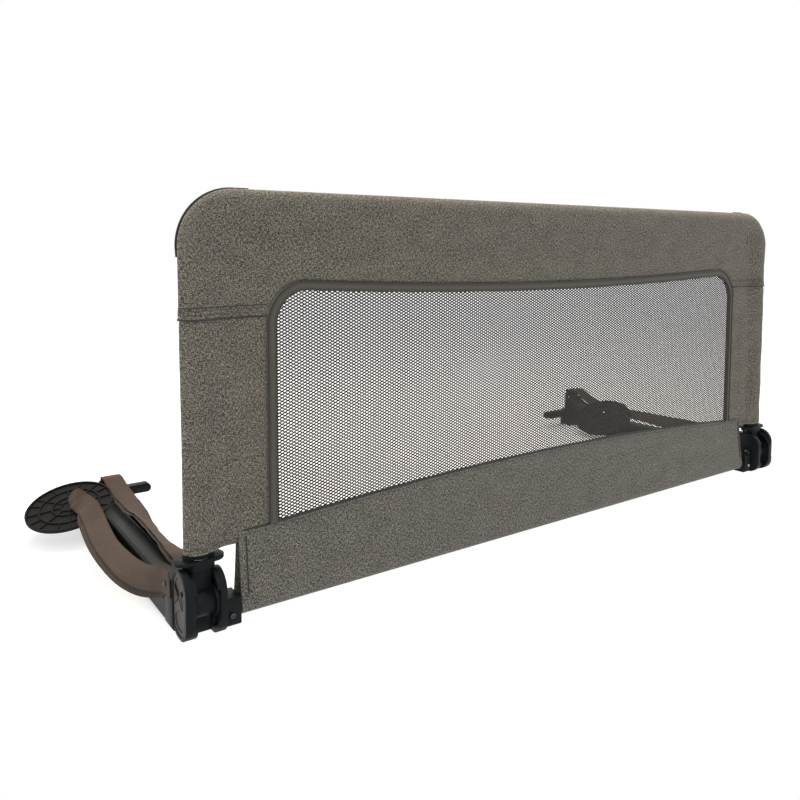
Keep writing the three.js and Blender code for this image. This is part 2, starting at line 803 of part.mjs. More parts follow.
function knuckle() {
  const low = innerCheekFace + runningGap;
  const high = outerCheekFace - runningGap;
  const half = columnDepth / 2;
  const barrel = rodX(low, high, pivotY, pivotZ, barrelDiameter / 2, 20);
  const column = block(low, high, -half, half, pivotZ, columnTop);
  const neck = rodZ(columnTop - overrun, lipTop, postX, 0, neckDiameter / 2, 16);
  const lip = rodZ(lipBottom, lipTop, postX, 0, lipDiameter / 2, 16);
  const spigot = rodZ(lipTop - overrun, lipTop + spigotLength, postX, 0, tubeBore - seatGap);
  const pinBore = rodX(low - overrun, high + overrun, pivotY, pivotZ, pivotPinDiameter / 2 + seatGap);
  const slotHalf = lockPinDiameter / 2 + seatGap;
  const pinSlot = block(low - overrun, high + overrun, -slotHalf, slotHalf,
    lockPinHeight - slotHalf, lockPinHeight + collarTravel + slotHalf);
  const linkBore = rodZ(lockPinHeight, collarRivetHeight + collarTravel + lockLinkDiameter, postX, 0,
    lockLinkDiameter / 2 + seatGap, 10);
  const rivetHalf = collarRivetDiameter / 2 + seatGap;
  const rivetSlot = block(postX - neckDiameter, postX + neckDiameter, -rivetHalf, rivetHalf,
    collarRivetHeight - rivetHalf, collarRivetHeight + collarTravel + rivetHalf);
  const screwHole = rodY(-tubeDiameter, 0, postX, tubeScrewHeight, screwRadius + seatGap);
  return named('knuckle', cut(join(barrel, column, neck, lip, spigot), pinBore, pinSlot, linkBore,
    rivetSlot, screwHole), plastic);
}

function releaseCollar() {
  const half = collarWidth / 2;
  const depth = collarFlangeWidth / 2;
  const body = slabZ(evenlyRounded(postX - half, postX + half, -depth, depth, depth * collarCornerShare),
    collarBottom, collarFlangeTop - seatGap, 3);
  const reach = collarFlangeLength / 2;
  const flange = slabZ(evenlyRounded(postX - reach, postX + reach, -depth, depth, depth),
    collarFlangeBottom, collarFlangeTop, 3);
  const cavity = rodZ(collarBottom + collarLedge, collarFlangeTop + overrun, postX, 0,
    collarCavityDiameter / 2, 16);
  const mouth = rodZ(collarBottom - overrun, collarFlangeTop, postX, 0,
    neckDiameter / 2 + runningGap, 16);
  const rivetBore = rodX(postX - half - overrun, postX + half + overrun, 0, collarRivetHeight,
    collarRivetDiameter / 2 + seatGap, 10);
  return named('release_collar', cut(join(body, flange), cavity, mouth, rivetBore), plastic);
}

function collarRivet() {
  const half = collarWidth / 2 - seatGap;
  const bar = rodX(postX - half, postX + half, 0, collarRivetHeight, collarRivetDiameter / 2, 10);
  return named('collar_rivet', bar, brightSteel);
}

// The coil winds from the collar's ledge up to the knuckle's lip round the neck.
function collarSpring() {
  const wire = springWire / 2;
  const radius = collarCavityDiameter / 2 - wire - seatGap;
  const low = collarBottom + collarLedge + wire + seatGap;
  const high = lipBottom - wire - seatGap;
  const stepsPerTurn = 8;
  const steps = springTurns * stepsPerTurn;
  const rings = [];
  for (let k = 0; k <= steps; k += 1) {
    const angle = k / stepsPerTurn * Math.PI * 2 + Math.PI / 4;
    const out = new THREE.Vector3(Math.cos(angle), Math.sin(angle), 0);
    const centre = new THREE.Vector3(postX, 0, low + (high - low) * k / steps).addScaledVector(out, radius);
    rings.push([0, 1, 2, 3, 4].map((side) => {
      const turn = side / 5 * Math.PI * 2;
      return centre.clone().addScaledVector(out, wire * Math.cos(turn))
        .addScaledVector(upVector, wire * Math.sin(turn));
    }));
  }
  return named('collar_spring', loft(rings), brightSteel);
}

function lockLink() {
  const low = lockPinHeight + lockPinDiameter / 2 + seatGap;
  const high = collarRivetHeight - collarRivetDiameter / 2 - seatGap;
  return named('lock_link', rodZ(low, high, postX, 0, lockLinkDiameter / 2, 10), brightSteel);
}

function lockPin() {
  const pin = rodX(innerCheekFace - lockPinReach, outerCheekFace + lockPinReach, 0, lockPinHeight,
    lockPinDiameter / 2, 12);
  return named('lock_pin', pin, brightSteel);
}

// Arm

function armTube() {
  const half = armTubeWidth / 2;
  const low = armBottom + trayWall + seatGap;
  const outer = evenlyRounded(armAxis - half, armAxis + half, low, armTop, rearSocketWall);
  const wall = armTubeWall;
  const inner = evenlyRounded(armAxis - half + wall, armAxis + half - wall, low + wall, armTop - wall,
    rearSocketWall - wall);
  const from = bracketBack + seatGap;
  const to = footFront - seatGap;
  return named('arm_tube', cut(slabY(outer, from, to), slabY(inner, from - overrun, to + overrun)),
    satinSteel);
}

function armTray() {
  const half = trayWidth / 2;
  const from = rearSocketEnd + seatGap;
  const to = footCapFront - seatGap;
  const outer = block(armAxis - half, armAxis + half, from, to, armBottom, traySideTop);
  const inner = block(armAxis - half + trayWall, armAxis + half - trayWall, from - overrun, to + overrun,
    armBottom + trayWall, traySideTop + overrun);
  return named('arm_tray', cut(outer, inner), plastic);
}

function armFoot(hold) {
  const half = footBlockWidth / 2;
  const base = slabY(evenlyRounded(armAxis - half, armAxis + half, 0, armTop + trayWall, trayWall),
    footCapFront, footBack);
  const bar = slabY(evenlyRounded(armAxis - footBarHalfLength, armAxis + footBarHalfLength,
    footBarBottom, footBarTop, (footBarTop - footBarBottom) * footBarRoundShare), footFront, footBack);
  const paddleHalf = paddleWidth / 2;
  const paddle = slabY(roundedShape(hold.paddleCentre - paddleHalf, hold.paddleCentre + paddleHalf,
    footBarBottom, hold.paddleTop, [trayWall, trayWall, paddleHalf * paddleRoundShare, paddleHalf * paddleRoundShare]),
  footFront - paddleThickness, footFront, 3);
  const slotHalf = paddleSlotWidth / 2;
  const slotBottom = hold.paddleTop - paddleSlotDrop;
  const slot = block(hold.paddleCentre - slotHalf, hold.paddleCentre + slotHalf, footCapFront - overrun,
    footBack + overrun, slotBottom, slotBottom + paddleSlotHeight);
  return named('arm_foot', cut(join(base, bar, paddle), slot, armHollow(footCapFront - overrun, footFront)),
    plastic);
}

// Anchor disc, drawn flat round its own centre, then spun, tilted and moved to its place

function discFrame(centre, backDegrees, outDegrees, spinDegrees) {
  const spin = new THREE.Matrix4().makeRotationZ(spinDegrees * degree);
  const back = new THREE.Matrix4().makeRotationX(backDegrees * degree);
  const out = new THREE.Matrix4().makeRotationY(outDegrees * degree);
  return new THREE.Matrix4().makeTranslation(centre).multiply(out).multiply(back).multiply(spin);
}

function anchorDisc(hold) {
  const radius = discDiameter / 2;
  const half = discPlate / 2;
  const top = half + discRibHeight;
  const plate = rodZ(-half, half, 0, 0, radius, discSides);
  const wall = discRibWidth;
  const ring = (r) => cut(rodZ(0, top, 0, 0, r, discSides),
    rodZ(half, top + overrun, 0, 0, r - wall, discSides));
  const rings = [radius, radius * discRingShare, discHubDiameter / 2].map(ring);
  const spokes = [];
  for (let k = 0; k < discRibCount; k += 1) {
    const angle = (k + 0.5) / discRibCount * Math.PI * 2;
    const spoke = new THREE.BoxGeometry(radius - discHubDiameter / 2, wall, top);
    spoke.translate((radius + discHubDiameter / 2) / 2 - wall / 2, 0, top / 2);
    spoke.rotateZ(angle);
    spokes.push(toSolid(spoke));
  }
  const slotX = discSlotWidth / 2;
  const slotY = discSlotLength / 2;
  const slot = slabZ(evenlyRounded(-slotX, slotX, -slotY, slotY, slotX * discSlotRoundShare),
    -overrun, top + overrun);
  const disc = toGeometry(cut(join(plate, ...rings, ...spokes), slot));
  disc.applyMatrix4(hold.discFrame);
  return named('anchor_disc', disc, plastic);
}

// Webbing, a flat ribbon whose width turns along its route. Each point of a route is its place
// and the direction in which the width lies there.

function ribbon(route, stepsPerSpan) {
  const centre = new THREE.CatmullRomCurve3(route.map(([place]) => place));
  const across = new THREE.CatmullRomCurve3(route.map(([, wide]) => wide));
  const spans = (route.length - 1) * stepsPerSpan;
  const rings = [];
  for (let k = 0; k <= spans; k += 1) {
    const t = k / spans;
    const place = centre.getPoint(t);
    const along = centre.getTangent(t);
    const wide = across.getPoint(t).normalize();
    const thick = along.clone().cross(wide).normalize().multiplyScalar(strapThickness / 2);
    wide.crossVectors(thick, along).normalize().multiplyScalar(strapWidth / 2);
    rings.push([[1, 1], [1, -1], [-1, -1], [-1, 1]].map(([w, n]) => (
      place.clone().addScaledVector(wide, w).addScaledVector(thick, n))));
  }
  return toSolid(loft(rings, 2));
}

// The direction of the width, turned from upright and swung from X towards the front, in shares
// of a right angle.
function lying(turnShare, swingShare) {
  const turn = turnShare * rightAngle;
  const swing = swingShare * rightAngle;
  return new THREE.Vector3(
    Math.sin(turn) * Math.cos(swing), -Math.sin(turn) * Math.sin(swing), Math.cos(turn));
}

function onDisc(hold, x, y, z) {
  return new THREE.Vector3(x, y, z).applyMatrix4(hold.discFrame);
}

function alongDiscSlot(hold) {
  return new THREE.Vector3(0, 1, 0).transformDirection(hold.discFrame);
}

// How each arm's webbing lies. Back strap: back along the arm, outward by strap widths, up to the
// paddle's top, and the turn of the width. Return strap: forward from the paddle, across to the disc, down, and
// the turn and swing of the width. Bow strap: back along the arm, out, down, turn and swing.
const leftBackShares = [
  [0, 0, 0, 2], [0.04, 0.02, 0, 2], [0.12, -0.07, -0.15, 1.5], [0.206, 0.03, -0.4, 0.98],
  [0.29, 0.09, -0.6, 0.7], [0.387, 0.09, -0.68, 0.6], [0.482, 0.08, -0.66, 0.58],
  [0.587, 0.06, -0.58, 0.64], [0.66, 0.06, -0.4, 0.84], [0.825, 0.08, -0.08, 0.98],
  [0.93, 0.12, 0.5, 1], [0.985, 0.15, 1, 1]];
const rightBackShares = [
  [0, 0, -0.01, 0], [0.07, 0, -0.03, 0.01], [0.21, 0.12, -0.04, 0.2], [0.38, 0.14, -0.04, 0.45],
  [0.57, 0.05, 0, 0.65], [0.72, -0.03, 0.02, 0.72], [0.83, -0.18, 0.1, 0.8], [0.91, -0.48, 0.42, 0.9],
  [0.96, -0.9, 0.88, 0.98], [0.985, -1.15, 1, 1]];
const leftReturnShares = [
  [0.43, 0.14, 0.46, 1, -0.19], [0.77, 0.5, 0.8, 1, -0.59], [0.96, 0.81, 0.96, 0.94, -0.94]];
const leftBowShares = [
  [0.85, 0.62, -0.2, -0.72, 0.42], [0.742, 0.62, 0.35, -0.82, 0.15], [0.623, 0.73, 0.56, -0.86, 0.04],
  [0.486, 0.8, 0.77, -0.87, 0], [0.349, 0.76, 0.84, -0.74, 0], [0.224, 0.66, 0.82, -0.57, 0],
  [0.116, 0.42, 0.7, -0.3, 0], [0.045, 0.17, 0.36, -0.08, 0], [0, 0.03, 0.1, 0, 0]];
const rightBowShares = [
  [0.72, 1.06, 0.96, 0.68, 0.16], [0.58, 1, 0.72, 0.52, 0.1], [0.42, 0.84, 0.46, 0.36, 0.05],
  [0.27, 0.6, 0.26, 0.2, 0], [0.13, 0.3, 0.12, 0.07, 0], [0.04, 0.07, 0.02, 0.01, 0], [0, 0, 0, 0, 0]];

// Up from the disc's slot and over towards the bracket, as shares of the arch, turn and swing.
const discArchShares = [
  [-0.16, 0, 0.45, -0.87, 1], [-0.42, -0.3, 0.75, -0.62, 0.92], [-0.68, -1.25, 0.65, -0.6, 0.6]];

// Below the disc from its slot to its front or rear edge, as shares of its radius, sideways and down.
const underFrontShares = [[0.09, 0, 1.1], [0.28, -0.03, 1.05], [0.62, -0.16, 1], [1, -0.34, 0.82]];
const underRearShares = [[0.09, 0, 1.1], [0.28, 0, 1.05], [0.62, -0.02, 1], [1, -0.06, 0.9]];

// From the bracket's side back to the paddle, over its top and down behind it.
function backRoute(hold) {
  const start = hold.backSide;
  const clear = strapSeat + seatGap;
  const flat = lying(1, 0);
  const front = footFront - paddleThickness;
  const overTop = hold.paddleTop + clear;
  const bend = clear * paddleBendShare;
  const slotTop = hold.paddleTop - paddleSlotDrop + paddleSlotHeight;
  const along = hold.backShares.map(([back, across, up, turn]) => [
    new THREE.Vector3(
      start + across * strapWidth,
      rearSocketEnd + back * (front - rearSocketEnd),
      backStrapHeight + up * (overTop - backStrapHeight)),
    lying(turn, 0)]);
  return [
    [new THREE.Vector3(start, strapStart, backStrapHeight), along[0][1]],
    ...along,
    [new THREE.Vector3(hold.paddleCentre, front, overTop), flat],
    [new THREE.Vector3(hold.paddleCentre, footFront, overTop), flat],
    [new THREE.Vector3(hold.paddleCentre, footFront + bend, hold.paddleTop + bend), flat],
    [new THREE.Vector3(hold.paddleCentre, footFront + clear, hold.paddleTop - strapThickness / 2), flat],
    [new THREE.Vector3(hold.paddleCentre, footFront + clear, slotTop + strapThickness), flat],
  ];
}

function fromPaddleSlot(hold) {
  const height = hold.paddleTop - paddleSlotDrop + paddleSlotHeight / 2;
  const flat = lying(1, 0);
  return [
    [new THREE.Vector3(hold.paddleCentre, footFront, height), flat],
    [new THREE.Vector3(hold.paddleCentre, footFront - paddleThickness - strapThickness, height), flat],
  ];
}

// From the paddle's slot forward under the left disc and up into its slot.
function leftReturnRoute(hold) {
  const inSlot = strapSeat - discSlotWidth / 2;
  const start = fromPaddleSlot(hold);
  const height = start[0][0].z;
  const along = leftReturnShares.map(([forward, across, down, turn, swing]) => [
    new THREE.Vector3(
      hold.paddleCentre + across * (hold.discCentre.x - hold.paddleCentre),
      footFront + forward * (hold.discCentre.y - footFront),
      height - down * returnStrapSag),
    lying(turn, swing)]);
  return [...start, ...along, [onDisc(hold, inSlot, 0, -discPlate / 2 - strapThickness), alongDiscSlot(hold)]];
}

// In a disc's slot and on beneath the disc to its edge, forward of the slot or behind it.
function underDisc(hold, side, shares) {
  const inSlot = side * (discSlotWidth / 2 - strapSeat);
  const across = alongDiscSlot(hold);
  const below = discPlate / 2 + underDiscGap;
  const beneath = shares.map(([out, sideways, down]) => [
    onDisc(hold, inSlot + side * out * discDiameter / 2, sideways * discDiameter / 2, -down * below), across]);
  return [
    [onDisc(hold, inSlot, 0, discPlate / 2), across],
    [onDisc(hold, inSlot, 0, -discPlate / 2 - strapThickness / 2), across],
    ...beneath,
  ];
}

// From the paddle's slot down round the right disc's rear edge and up into its slot.
function rightReturnRoute(hold) {
  return [...fromPaddleSlot(hold), ...underDisc(hold, -1, underRearShares).reverse()];
}

// From the left disc's slot over its inner edge, then on edge in a bow out to the bracket.
function leftBowRoute(hold) {
  const start = hold.bowSide;
  const inSlot = strapSeat - discSlotWidth / 2;
  const arch = discArchShares.map(([x, y, z, turn, swing]) => [
    onDisc(hold, inSlot + x * discStrapArch, y * discStrapArch, z * discStrapArch),
    lying(turn, swing)]);
  const along = leftBowShares.map(([back, out, down, turn, swing]) => [
    new THREE.Vector3(
      start + out * bowStrapReach,
      rearSocketEnd + back * (hold.discCentre.y - rearSocketEnd),
      bowStrapHeight - down * bowStrapSag),
    lying(turn, swing)]);
  return [
    [onDisc(hold, inSlot, 0, -discPlate / 2), alongDiscSlot(hold)],
    [onDisc(hold, inSlot, 0, discPlate), alongDiscSlot(hold)],
    ...arch,
    ...along,
    [new THREE.Vector3(start, strapStart, bowStrapHeight), lying(0, 0)],
  ];
}

// From the right disc's slot forward beneath it, then turning on edge up to the bracket.
function rightBowRoute(hold) {
  const start = hold.bowSide;
  const along = rightBowShares.map(([back, out, down, turn, swing]) => [
    new THREE.Vector3(
      start - out * slackStrapReach,
      rearSocketEnd + back * (hold.discCentre.y - rearSocketEnd),
      bowStrapHeight - down * slackStrapSag),
    lying(turn, swing)]);
  return [
    ...underDisc(hold, 1, underFrontShares),
    ...along,
    [new THREE.Vector3(start, strapStart, bowStrapHeight), lying(0, 0)],
  ];
}

// The two arms are alike, and their discs lie on the same hand of them. What differs is how the
// webbing holds each paddle and disc.
const outerStrapSide = socketOuterSide + strapSeat;
const innerStrapSide = socketInnerSide - strapSeat;
const leftDiscCentre = new THREE.Vector3(
  armAxis + leftDiscOutward, footFront - leftDiscBeforeFoot, leftDiscHeight);
const rightDiscCentre = new THREE.Vector3(
  armAxis - rightDiscInward, footFront - rightDiscBeforeFoot, rightDiscHeight);
const leftHold = {
  paddleTop: leftPaddleTop,
  paddleCentre: armAxis - leftPaddleInward,
  discCentre: leftDiscCentre,
  discFrame: discFrame(leftDiscCentre, leftDiscTiltBackDegrees, leftDiscTiltOutDegrees, 0),
  backSide: innerStrapSide,
  bowSide: outerStrapSide,
  backShares: leftBackShares,
  returnRoute: leftReturnRoute,
  bowRoute: leftBowRoute,
};
const rightHold = {
  paddleTop: rightPaddleTop,
  paddleCentre: armAxis - rightPaddleInward,
  discCentre: rightDiscCentre,
  discFrame: discFrame(
    rightDiscCentre, rightDiscTiltBackDegrees, -rightDiscTiltInDegrees, -rightDiscSpinDegrees),
  backSide: outerStrapSide,
  bowSide: innerStrapSide,
  backShares: rightBackShares,
  returnRoute: rightReturnRoute,
  bowRoute: rightBowRoute,
};

function rivetPlace(side) {
  const x = side > 0 ? socketOuterSide : socketInnerSide;
  return { x, y: rivetSetback, z: strapEarTop - rivetBelowTop };
}

function rivetHole(side) {
  const { x, y, z } = rivetPlace(side);
  const half = rivetDiameter / 2 + seatGap;
  const end = x - side * (rivetDepth + seatGap);
  return rodX(Math.min(x, end), Math.max(x, end), y, z, half, 10);
}

function strapRivet(name, side) {
  const { x, y, z } = rivetPlace(side);
  const from = x - side * rivetDepth;
  const seat = x + side * (strapThickness + strapEarGap + 2 * seatGap);
  const end = seat + side * rivetHeadThickness;
  const shank = rodX(Math.min(from, end), Math.max(from, end), y, z, rivetDiameter / 2, 10);
  const head = rodX(Math.min(seat, end), Math.max(seat, end), y, z, rivetHeadDiameter / 2, 10);
  return named(name, join(shank, head), brightSteel);
}

function strapHole(side) {
  const { x, y, z } = rivetPlace(side);
  const reach = strapThickness + overrun;
  return rodX(x - reach, x + reach, y, z, rivetDiameter / 2 + seatGap, 10);
}

function straps(hold) {
  const backHand = Math.sign(hold.backSide - armAxis);
  const bowHand = -backHand;
  return [
    named('strap_back', cut(ribbon(backRoute(hold), 2), strapHole(backHand)), webbing),
    named('strap_return', ribbon(hold.returnRoute(hold), 3), webbing),
    named('strap_bow', cut(ribbon(hold.bowRoute(hold), 2), strapHole(bowHand)), webbing),
    strapRivet('strap_rivet_back', backHand),
    strapRivet('strap_rivet_bow', bowHand),
  ];
}

// Assembly

function sideParts(hold) {
  return [
    bracket(), cheekCover(), pivotPin(), knuckle(), releaseCollar(), collarSpring(), collarRivet(),
    lockLink(), lockPin(), socketScrew(), tubeScrew(), uprightTube(), cornerTube(), foamSide(),
    coverSide(), crossTube(), armTube(), armTray(), armFoot(hold), anchorDisc(hold), ...straps(hold),
  ];
}

function side(suffix, direction, hold) {
  const parts = new THREE.Group();
  for (const mesh of sideParts(hold)) {
    mesh.name += suffix;
    parts.add(mesh);
  }
  parts.scale.x = direction;
  return parts;
}

const group = new THREE.Group();
group.add(side('_right', 1, rightHold));
group.add(side('_left', -1, leftHold));
group.add(topTube(), foamTop(), crossJoiner(), coverTop(), meshWindow(), meshBinding(), sleeveBand());

// The origin lies on the floor below the middle of the whole rail, from the left disc's edge to the
// right foot's side.
const whole = new THREE.Box3().setFromObject(group);
group.position.x = -(whole.min.x + whole.max.x) / 2;
group.position.y = -(bracketFront + footBack) / 2;

export default group;
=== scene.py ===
"""Looks of a folding bed guard rail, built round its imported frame. All lengths are in metres."""

import json
import math

import bmesh
import bpy
import numpy as np
from mathutils import Matrix, Vector
from mathutils.bvhtree import BVHTree


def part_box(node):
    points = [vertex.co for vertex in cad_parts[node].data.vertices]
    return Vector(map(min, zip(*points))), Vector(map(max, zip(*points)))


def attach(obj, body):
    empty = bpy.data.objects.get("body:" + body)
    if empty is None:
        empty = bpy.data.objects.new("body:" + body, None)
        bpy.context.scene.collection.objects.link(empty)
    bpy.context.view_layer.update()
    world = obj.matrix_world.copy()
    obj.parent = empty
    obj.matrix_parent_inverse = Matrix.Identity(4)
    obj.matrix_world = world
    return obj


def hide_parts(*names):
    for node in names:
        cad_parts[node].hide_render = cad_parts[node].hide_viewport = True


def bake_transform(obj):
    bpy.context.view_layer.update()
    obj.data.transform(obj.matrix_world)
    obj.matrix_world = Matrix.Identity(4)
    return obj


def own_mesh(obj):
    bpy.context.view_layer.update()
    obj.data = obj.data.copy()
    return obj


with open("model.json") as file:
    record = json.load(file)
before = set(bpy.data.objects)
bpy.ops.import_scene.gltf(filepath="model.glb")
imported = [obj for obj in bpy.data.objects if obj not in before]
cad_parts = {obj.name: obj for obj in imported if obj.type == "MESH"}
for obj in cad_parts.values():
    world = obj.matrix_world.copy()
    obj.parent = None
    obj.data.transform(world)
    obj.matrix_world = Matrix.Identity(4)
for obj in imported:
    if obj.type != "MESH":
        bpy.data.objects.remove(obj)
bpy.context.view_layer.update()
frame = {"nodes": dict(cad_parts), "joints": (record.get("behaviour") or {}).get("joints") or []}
SIDES = {"right": 1, "left": -1}
MM = 0.001

# Places read from the frame. Pieces are drawn about the rail's middle, x = 0 there, and stand at
# RAIL_MIDDLE, which lies aside from the frame's middle because the left disc reaches furthest out
cover_low, cover_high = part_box("cover_top")
binding_low, binding_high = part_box("mesh_binding")
sleeve_low, sleeve_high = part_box("sleeve_band")
cheek_low, cheek_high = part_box("cheek_cover_right")
collar_low, collar_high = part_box("release_collar_right")
RAIL_MIDDLE = (cover_low.x + cover_high.x) / 2
RAIL_HALF = (cover_high.x - cover_low.x) / 2
RAIL_TOP = cover_high.z
PLANE = (cover_low.y + cover_high.y) / 2
PAD_HALF = (cover_high.y - cover_low.y) / 2
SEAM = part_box("cover_side_right")[1].z
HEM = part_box("cover_side_right")[0].z
TAPE_WIDTH = 15 * MM
TAPE_THICK = 7.4 * MM
WINDOW_HALF = (binding_high.x - binding_low.x) / 2 - TAPE_WIDTH
WINDOW_TOP = binding_high.z - TAPE_WIDTH
WINDOW_SAG = 15 * MM
WINDOW_CORNER = 52 * MM
WINDOW_STEP = 4 * MM
COVER_CORNER = 86 * MM
COVER_FROM_WINDOW = TAPE_WIDTH + 0.3 * MM
TOP_INSET = 0.8 * MM
TUBE_INSET = 23 * MM
EDGE_HALF = 3.2 * MM
SLEEVE_HALF = (sleeve_high.x - sleeve_low.x) / 2
SLEEVE_BOW = 24 * MM
SLEEVE_BOW_HALF = 620 * MM
SLEEVE_TOP = sleeve_high.z - SLEEVE_BOW
SLEEVE_RADIUS = 15.3 * MM
SLEEVE_MOUTH = 2.6 * MM
SLEEVE_CLOTH = 1.3 * MM
CROSS_TUBE = 24 * MM
STITCH_LIFT = 0.2 * MM
STRAP_WIDE = 40 * MM
STRAP_THICK = 2.4 * MM

# How far in from the cover's outer edge its padding reaches, at the sides and along the top
SIDE_PADDING = 62 * MM
TOP_PADDING = 105 * MM

# Heights of the lap's lower and upper edge where the top cover is sewn over each side panel, and the
# window's left edge, which stands in a little
LAPS = {1: (SEAM + 5.5 * MM, SEAM + 21 * MM), -1: (SEAM - 3.5 * MM, SEAM + 13.6 * MM)}
WINDOW_LEFT_IN = 6 * MM


def shade(red, green, blue):
    """A colour given as it looks on screen, from 0 to 255, as light."""
    light = [((c / 255 + 0.055) / 1.055) ** 2.4 if c > 10 else c / 3295 for c in (red, green, blue)]
    return (*light, 1.0)


# Finishes


class Value:
    """A number or colour inside a finish, so that its maths is written as sums."""

    def __init__(self, finish, socket):
        self.finish = finish
        self.socket = socket

    def maths(self, operation, *values):
        inputs = dict(enumerate(values))
        return self.finish.add("ShaderNodeMath", {"operation": operation}, inputs)

    def __add__(self, other):
        return self.maths("ADD", self, other)

    def __sub__(self, other):
        return self.maths("SUBTRACT", self, other)

    def __rsub__(self, other):
        return self.maths("SUBTRACT", other, self)

    def __mul__(self, other):
        return self.maths("MULTIPLY", self, other)

    __radd__ = __add__
    __rmul__ = __mul__

    def sine(self):
        return self.maths("SINE", self)

    def size(self):
        return self.maths("ABSOLUTE", self)

    def above(self, level):
        return self.maths("GREATER_THAN", self, level)

    def held(self):
        return self.finish.add("ShaderNodeClamp", {}, {"Value": self})


class Finish:
    """A material with its shader, to which other nodes are added."""

    def __init__(self, name, **constants):
        self.material = bpy.data.materials.new(name)
        self.material.use_nodes = True
        self.tree = self.material.node_tree
        self.shader = self.tree.nodes["Principled BSDF"]
        for socket, value in constants.items():
            self.shader.inputs[socket.replace("_", " ")].default_value = value

    def fill(self, socket, value):
        if isinstance(value, Value):
            self.tree.links.new(value.socket, socket)
        else:
            socket.default_value = value

    def set_stops(self, ramp, stops):
        for place, _ in stops[1:-1]:
            ramp.elements.new(place)
        for element, (place, colour) in zip(ramp.elements, stops):
            element.position = place
            element.color = colour

    def add(self, kind, settings, inputs, output=0):
        """A node with its settings, and then the values or links of its sockets."""
        node = self.tree.nodes.new(kind)
        for name, value in settings.items():
            if name == "stops":
                self.set_stops(node.color_ramp, value)
            else:
                setattr(node, name, value)
        for name, value in inputs.items():
            self.fill(node.inputs[name], value)
        return Value(self, node.outputs[output])

    def scaled(self, place, sizes):
        return self.add("ShaderNodeVectorMath", {"operation": "MULTIPLY"}, {0: place, 1: sizes})

    def noise(self, place, sizes, detail, roughness=0.5):
        grain = self.scaled(place, sizes)
        inputs = {"Vector": grain, "Scale": 1.0, "Detail": detail, "Roughness": roughness}
        return self.add("ShaderNodeTexNoise", {}, inputs)

    def cells(self, place, sizes):
        inputs = {"Vector": self.scaled(place, sizes), "Scale": 1.0}
        return self.add("ShaderNodeTexVoronoi", {}, inputs)

    def apart(self, place):
        node = self.add("ShaderNodeSeparateXYZ", {}, {0: place}).socket.node
        return [Value(self, output) for output in node.outputs]

    def stops(self, factor, colours):
        return self.add("ShaderNodeValToRGB", {"stops": colours}, {0: factor})

    def between(self, factor, first, second):
        return self.add("ShaderNodeMix", {"data_type": "RGBA"}, {0: factor, 6: first, 7: second}, 2)

    def lay(self):
        """Where a point of cloth lies on its flat cut."""
        return self.add("ShaderNodeAttribute", {"attribute_name": "lay"}, {}, "Vector")

    def place(self):
        return self.add("ShaderNodeTexCoord", {}, {}, "Object")

    def give(self, **links):
        for socket, value in links.items():
            self.fill(self.shader.inputs[socket.replace("_", " ")], value)
        return self

    def relief(self, height, depth, strength):
        inputs = {"Height": height, "Distance": depth, "Strength": strength}
        self.give(Normal=self.add("ShaderNodeBump", {}, inputs, "Normal"))
        return self


def turns_per(pitch):
    """What turns a length into the angle of a wave with this pitch."""
    return 2 * math.pi / pitch


def heather_cloth(name, dark, middle, light):
    """Plain weave of mixed dark and pale yarns."""
    finish = Finish(name, Sheen_Weight=0.15, Sheen_Roughness=0.5, Specular_IOR_Level=0.15)
    lay = finish.lay()
    across, up, _ = finish.apart(lay)
    warp = finish.noise(lay, (800, 230, 1), 2.0, 0.7)
    weft = finish.noise(lay, (230, 800, 1), 2.0, 0.7)
    fleck = finish.noise(lay, (620, 620, 1), 2.0, 0.8)
    cloud = finish.noise(lay, (22, 30, 1), 3.0, 0.6)
    tone = warp * 0.35 + weft * 0.35 + fleck * 0.26 + cloud * 0.04
    colour = finish.stops(tone, [(0.44, dark), (0.5, middle), (0.56, light)])
    weave = turns_per(1.5 * MM)
    over = (across * weave).sine() * (up * weave).sine()
    height = over * 0.25 + warp * 0.5 + weft * 0.5
    finish.give(Base_Color=colour, Roughness=0.82 + fleck * 0.16)
    return finish.relief(height, 0.5 * MM, 0.5).material


def ribbed_tape(name, dark, light):
    """Binding tape with fine ribs across it."""
    finish = Finish(name, Sheen_Weight=0.2, Specular_IOR_Level=0.2)
    lay = finish.lay()
    along, _, _ = finish.apart(lay)
    rib = (along * turns_per(1.4 * MM)).sine() * 0.5 + 0.5
    yarn = finish.noise(lay, (300, 900, 1), 2.0, 0.6)
    colour = finish.between(rib * 0.35 + yarn * 0.65, dark, light)
    finish.give(Base_Color=colour, Roughness=0.8 + yarn * 0.15)
    return finish.relief(rib * 0.5 + yarn * 0.5, 0.4 * MM, 0.6).material


def strap_webbing(name, dark, light):
    """Flat webbing with ribs across it and a firmer edge."""
    finish = Finish(name, Sheen_Weight=0.08, Sheen_Roughness=0.4, Specular_IOR_Level=0.15)
    lay = finish.lay()
    along, across, _ = finish.apart(lay)
    rib = (along * turns_per(2.4 * MM)).sine() * 0.5 + 0.5
    plait = (across * turns_per(2.8 * MM) + rib * 2.0).sine() * 0.5 + 0.5
    yarn = finish.noise(lay, (700, 160, 1), 2.0, 0.6)
    cloud = finish.noise(lay, (18, 40, 1), 3.0, 0.6)
    edge = across.size().above(18 * MM)
    tone = rib * 0.34 + plait * 0.22 + yarn * 0.2 + cloud * 0.3 - edge * 0.18
    finish.give(Base_Color=finish.between(tone.held(), dark, light), Roughness=0.7 + yarn * 0.2)
    return finish.relief(rib * 0.6 + plait * 0.3 + yarn * 0.3 + edge * 0.8, 0.9 * MM, 0.8).material


